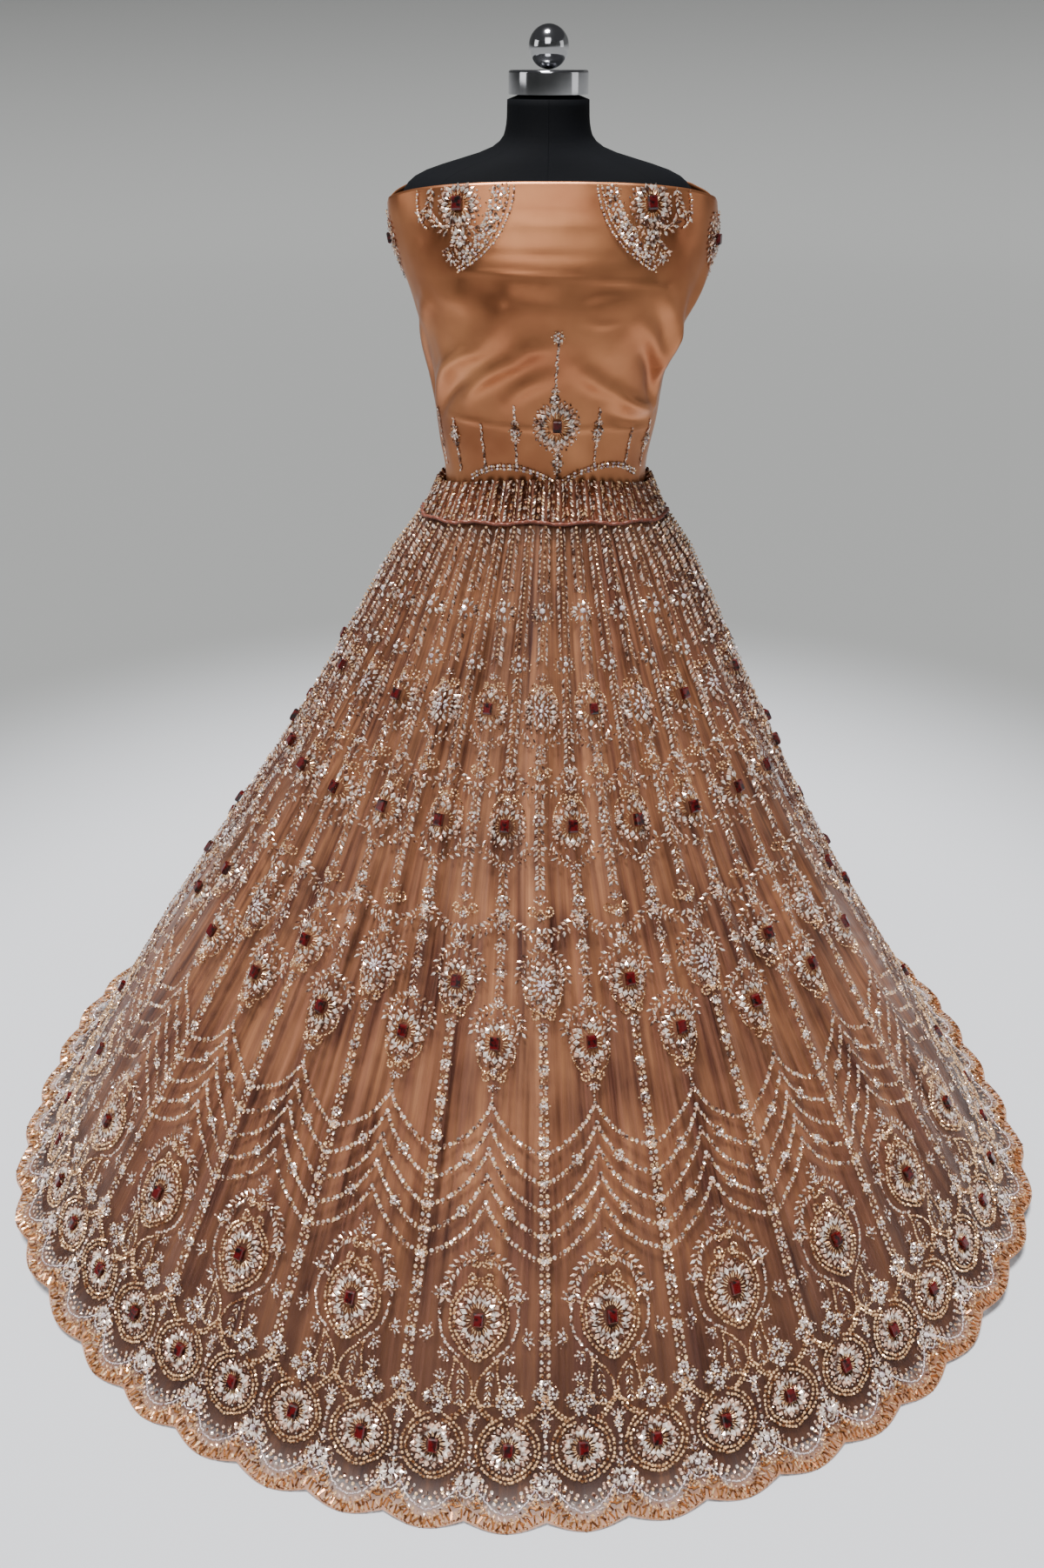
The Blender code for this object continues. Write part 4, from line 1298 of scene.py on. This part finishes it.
shoulder += leafy(swag((-0.034, -0.014), (-0.036, 0.012), (-0.052, 0.014)), 0.0078, 0.0036, 0.0060)
side = bloom(0.0150, 13, 0.0120)
side += both(leafy(arc(0, 0, 0.022, 0.030, 20, 150), 0.0078, 0.0036, 0.0062))
side += moved(bud(0.009), 0.0, 0.036, 180)
blouse_beads = []
for turn, mirror in ((-27.5, 1), (30.5, -1), (152.5, 1), (207.5, -1)):
    blouse_beads.append(on_choli(moved(shoulder, 0.0, 0.0, 0.0, mirror), turn, 1.311))
for turn, height in ((-84.0, 1.268), (78.0, 1.268)):
    blouse_beads.append(on_choli(side, turn, height))

# Bead strings over the waist: (degrees, upper and lower height, height of its crystal or 0).
STRINGS = (
    (-74, 1.074, 1.004, 0),
    (-55, 1.066, 1.002, 1.046),
    (-35, 1.064, 1.006, 0),
    (-16, 1.089, 1.018, 1.059),
    (26, 1.085, 1.016, 1.058),
    (48, 1.056, 1.007, 0),
    (66, 1.060, 1.004, 1.036),
    (3.2, 1.168, 1.102, 1.099),
    (5.5, 1.042, 1.000, 1.021),
)
for flip in (0.0, 180.0):
    for turn, high, low, crystal in STRINGS:
        rows = strung(((0.0, 0.0), (0.0, high - low)), LEAF, (ROSE, SILVER), 0.0054, 0.0034, 0.0034, 0.0, 0.5)
        if crystal:
            drop_to = high - crystal
            rows += moved(rosette(0.0066, 6), 0.0, drop_to) + moved(bud(0.0044), 0.0, drop_to - 0.0085)
            rows += moved(under(bud(0.0044)), 0.0, drop_to + 0.0085)
        blouse_beads.append(on_choli(rows, turn + flip, high))
    blouse_beads.append(on_choli(rosette(0.0062, 6), 3.0 + flip, 1.172))
    blouse_beads.append(on_choli(bloom(0.0235, 21, LONG_STONE * 0.9), 4.5 + flip, 1.066))
    for turn in (-20.5, 33.5):
        for higher in (0.0, 0.0040):
            path = swag((-0.053, 0.019 - higher), (0.0, -0.015 - higher), (0.053, 0.019 - higher))
            cord = strung(path, ROUND, (CLEAR, GOLD), 0.0042, 0.0036, 0.0042)
            blouse_beads.append(on_choli(cord, turn + flip, 1.015))
beadwork("choli_embroidery", blouse_beads, choli_place, 1.0, 0.002, 71)


# Floor, lights and camera: a pale floor that curves up like a studio cove, with a painted pool of light on
# it, a large soft light above and in front, and weak ones at the sides. The camera looks down a little.

COVE_RADIUS = 10.0
COVE_BEND = 3.0
COVE_HEIGHT = 7.5
cove_profile = [(0.0, 0.0), (COVE_RADIUS, 0.0)]
for step in range(1, 13):
    bend = math.pi / 2 * step / 12
    cove_profile.append((COVE_RADIUS + COVE_BEND * math.sin(bend), COVE_BEND * (1.0 - math.cos(bend))))
cove_profile.append((COVE_RADIUS + COVE_BEND, COVE_HEIGHT))
pale, sockets, spot, _ = material("floor_with_painted_light_pool", colour(196, 199, 206), 0.8)
# Painted pool of light: the floor is painted pale round the form and turns grey from 0.95 to 2.1 m out.
far = spot.node("ShaderNodeVectorMath", {"operation": "LENGTH"}, {0: spot}, out=1)
smooth = {"interpolation_type": "SMOOTHSTEP"}
far = far.node("ShaderNodeMapRange", smooth, {0: far, 1: 0.95, 2: 2.1, 3: 0.0, 4: 1.0})
far.mixed(colour(212, 214, 219), colour(128, 129, 128)).feeds(sockets["Base Color"])
cove = turned("floor", cove_profile, 96)
cove.flip_normals()
cove.materials.append(pale)
floor = bpy.data.objects.new("floor", cove)
bpy.context.scene.collection.objects.link(floor)

# Lamps: (name, kind, place, aimed at, size, strength). The first stands for a bank of soft ones.
LAMPS = (
    ("above", "SUN", (-0.40, -0.42, 3.6), (0.0, 0.0, 0.0), math.radians(14.0), 6.3),
    ("front", "AREA", (-0.4, -3.4, 3.4), (0.0, 0.0, 1.2), 2.0, 38.0),
    ("left", "AREA", (-3.2, -0.6, 2.2), (0.0, 0.0, 0.6), 1.4, 10.0),
    ("right", "AREA", (3.2, -0.5, 2.0), (0.0, 0.0, 0.6), 1.4, 5.0),
)
for name, kind, place, target, size, strength in LAMPS:
    lamp = bpy.data.lights.new(name, kind)
    if kind == "SUN":
        lamp.angle = size
    else:
        lamp.size = size
    lamp.energy = strength
    light = bpy.data.objects.new(name, lamp)
    light.location = place
    light.rotation_euler = (Vector(target) - Vector(place)).to_track_quat("-Z", "Y").to_euler()
    bpy.context.scene.collection.objects.link(light)

world = bpy.data.worlds.new("studio")
world.use_nodes = True
world.node_tree.nodes["Background"].inputs["Color"].default_value = colour(232, 234, 238)
world.node_tree.nodes["Background"].inputs["Strength"].default_value = 0.07
bpy.context.scene.world = world

# The camera: its place, how far it looks down, and its lens on a 36 mm frame.
CAMERA_PLACE = (-0.03, -1.72, 1.46)
CAMERA_DOWN_DEG = 28.5
CAMERA_LENS = 30.95
seen = bpy.data.cameras.new("camera")
seen.lens = CAMERA_LENS
seen.sensor_width = 36.0
camera = bpy.data.objects.new("camera", seen)
camera.location = CAMERA_PLACE
camera.rotation_euler = (math.radians(90.0 - CAMERA_DOWN_DEG), 0.0, 0.0)
bpy.context.scene.collection.objects.link(camera)
bpy.context.scene.camera = camera
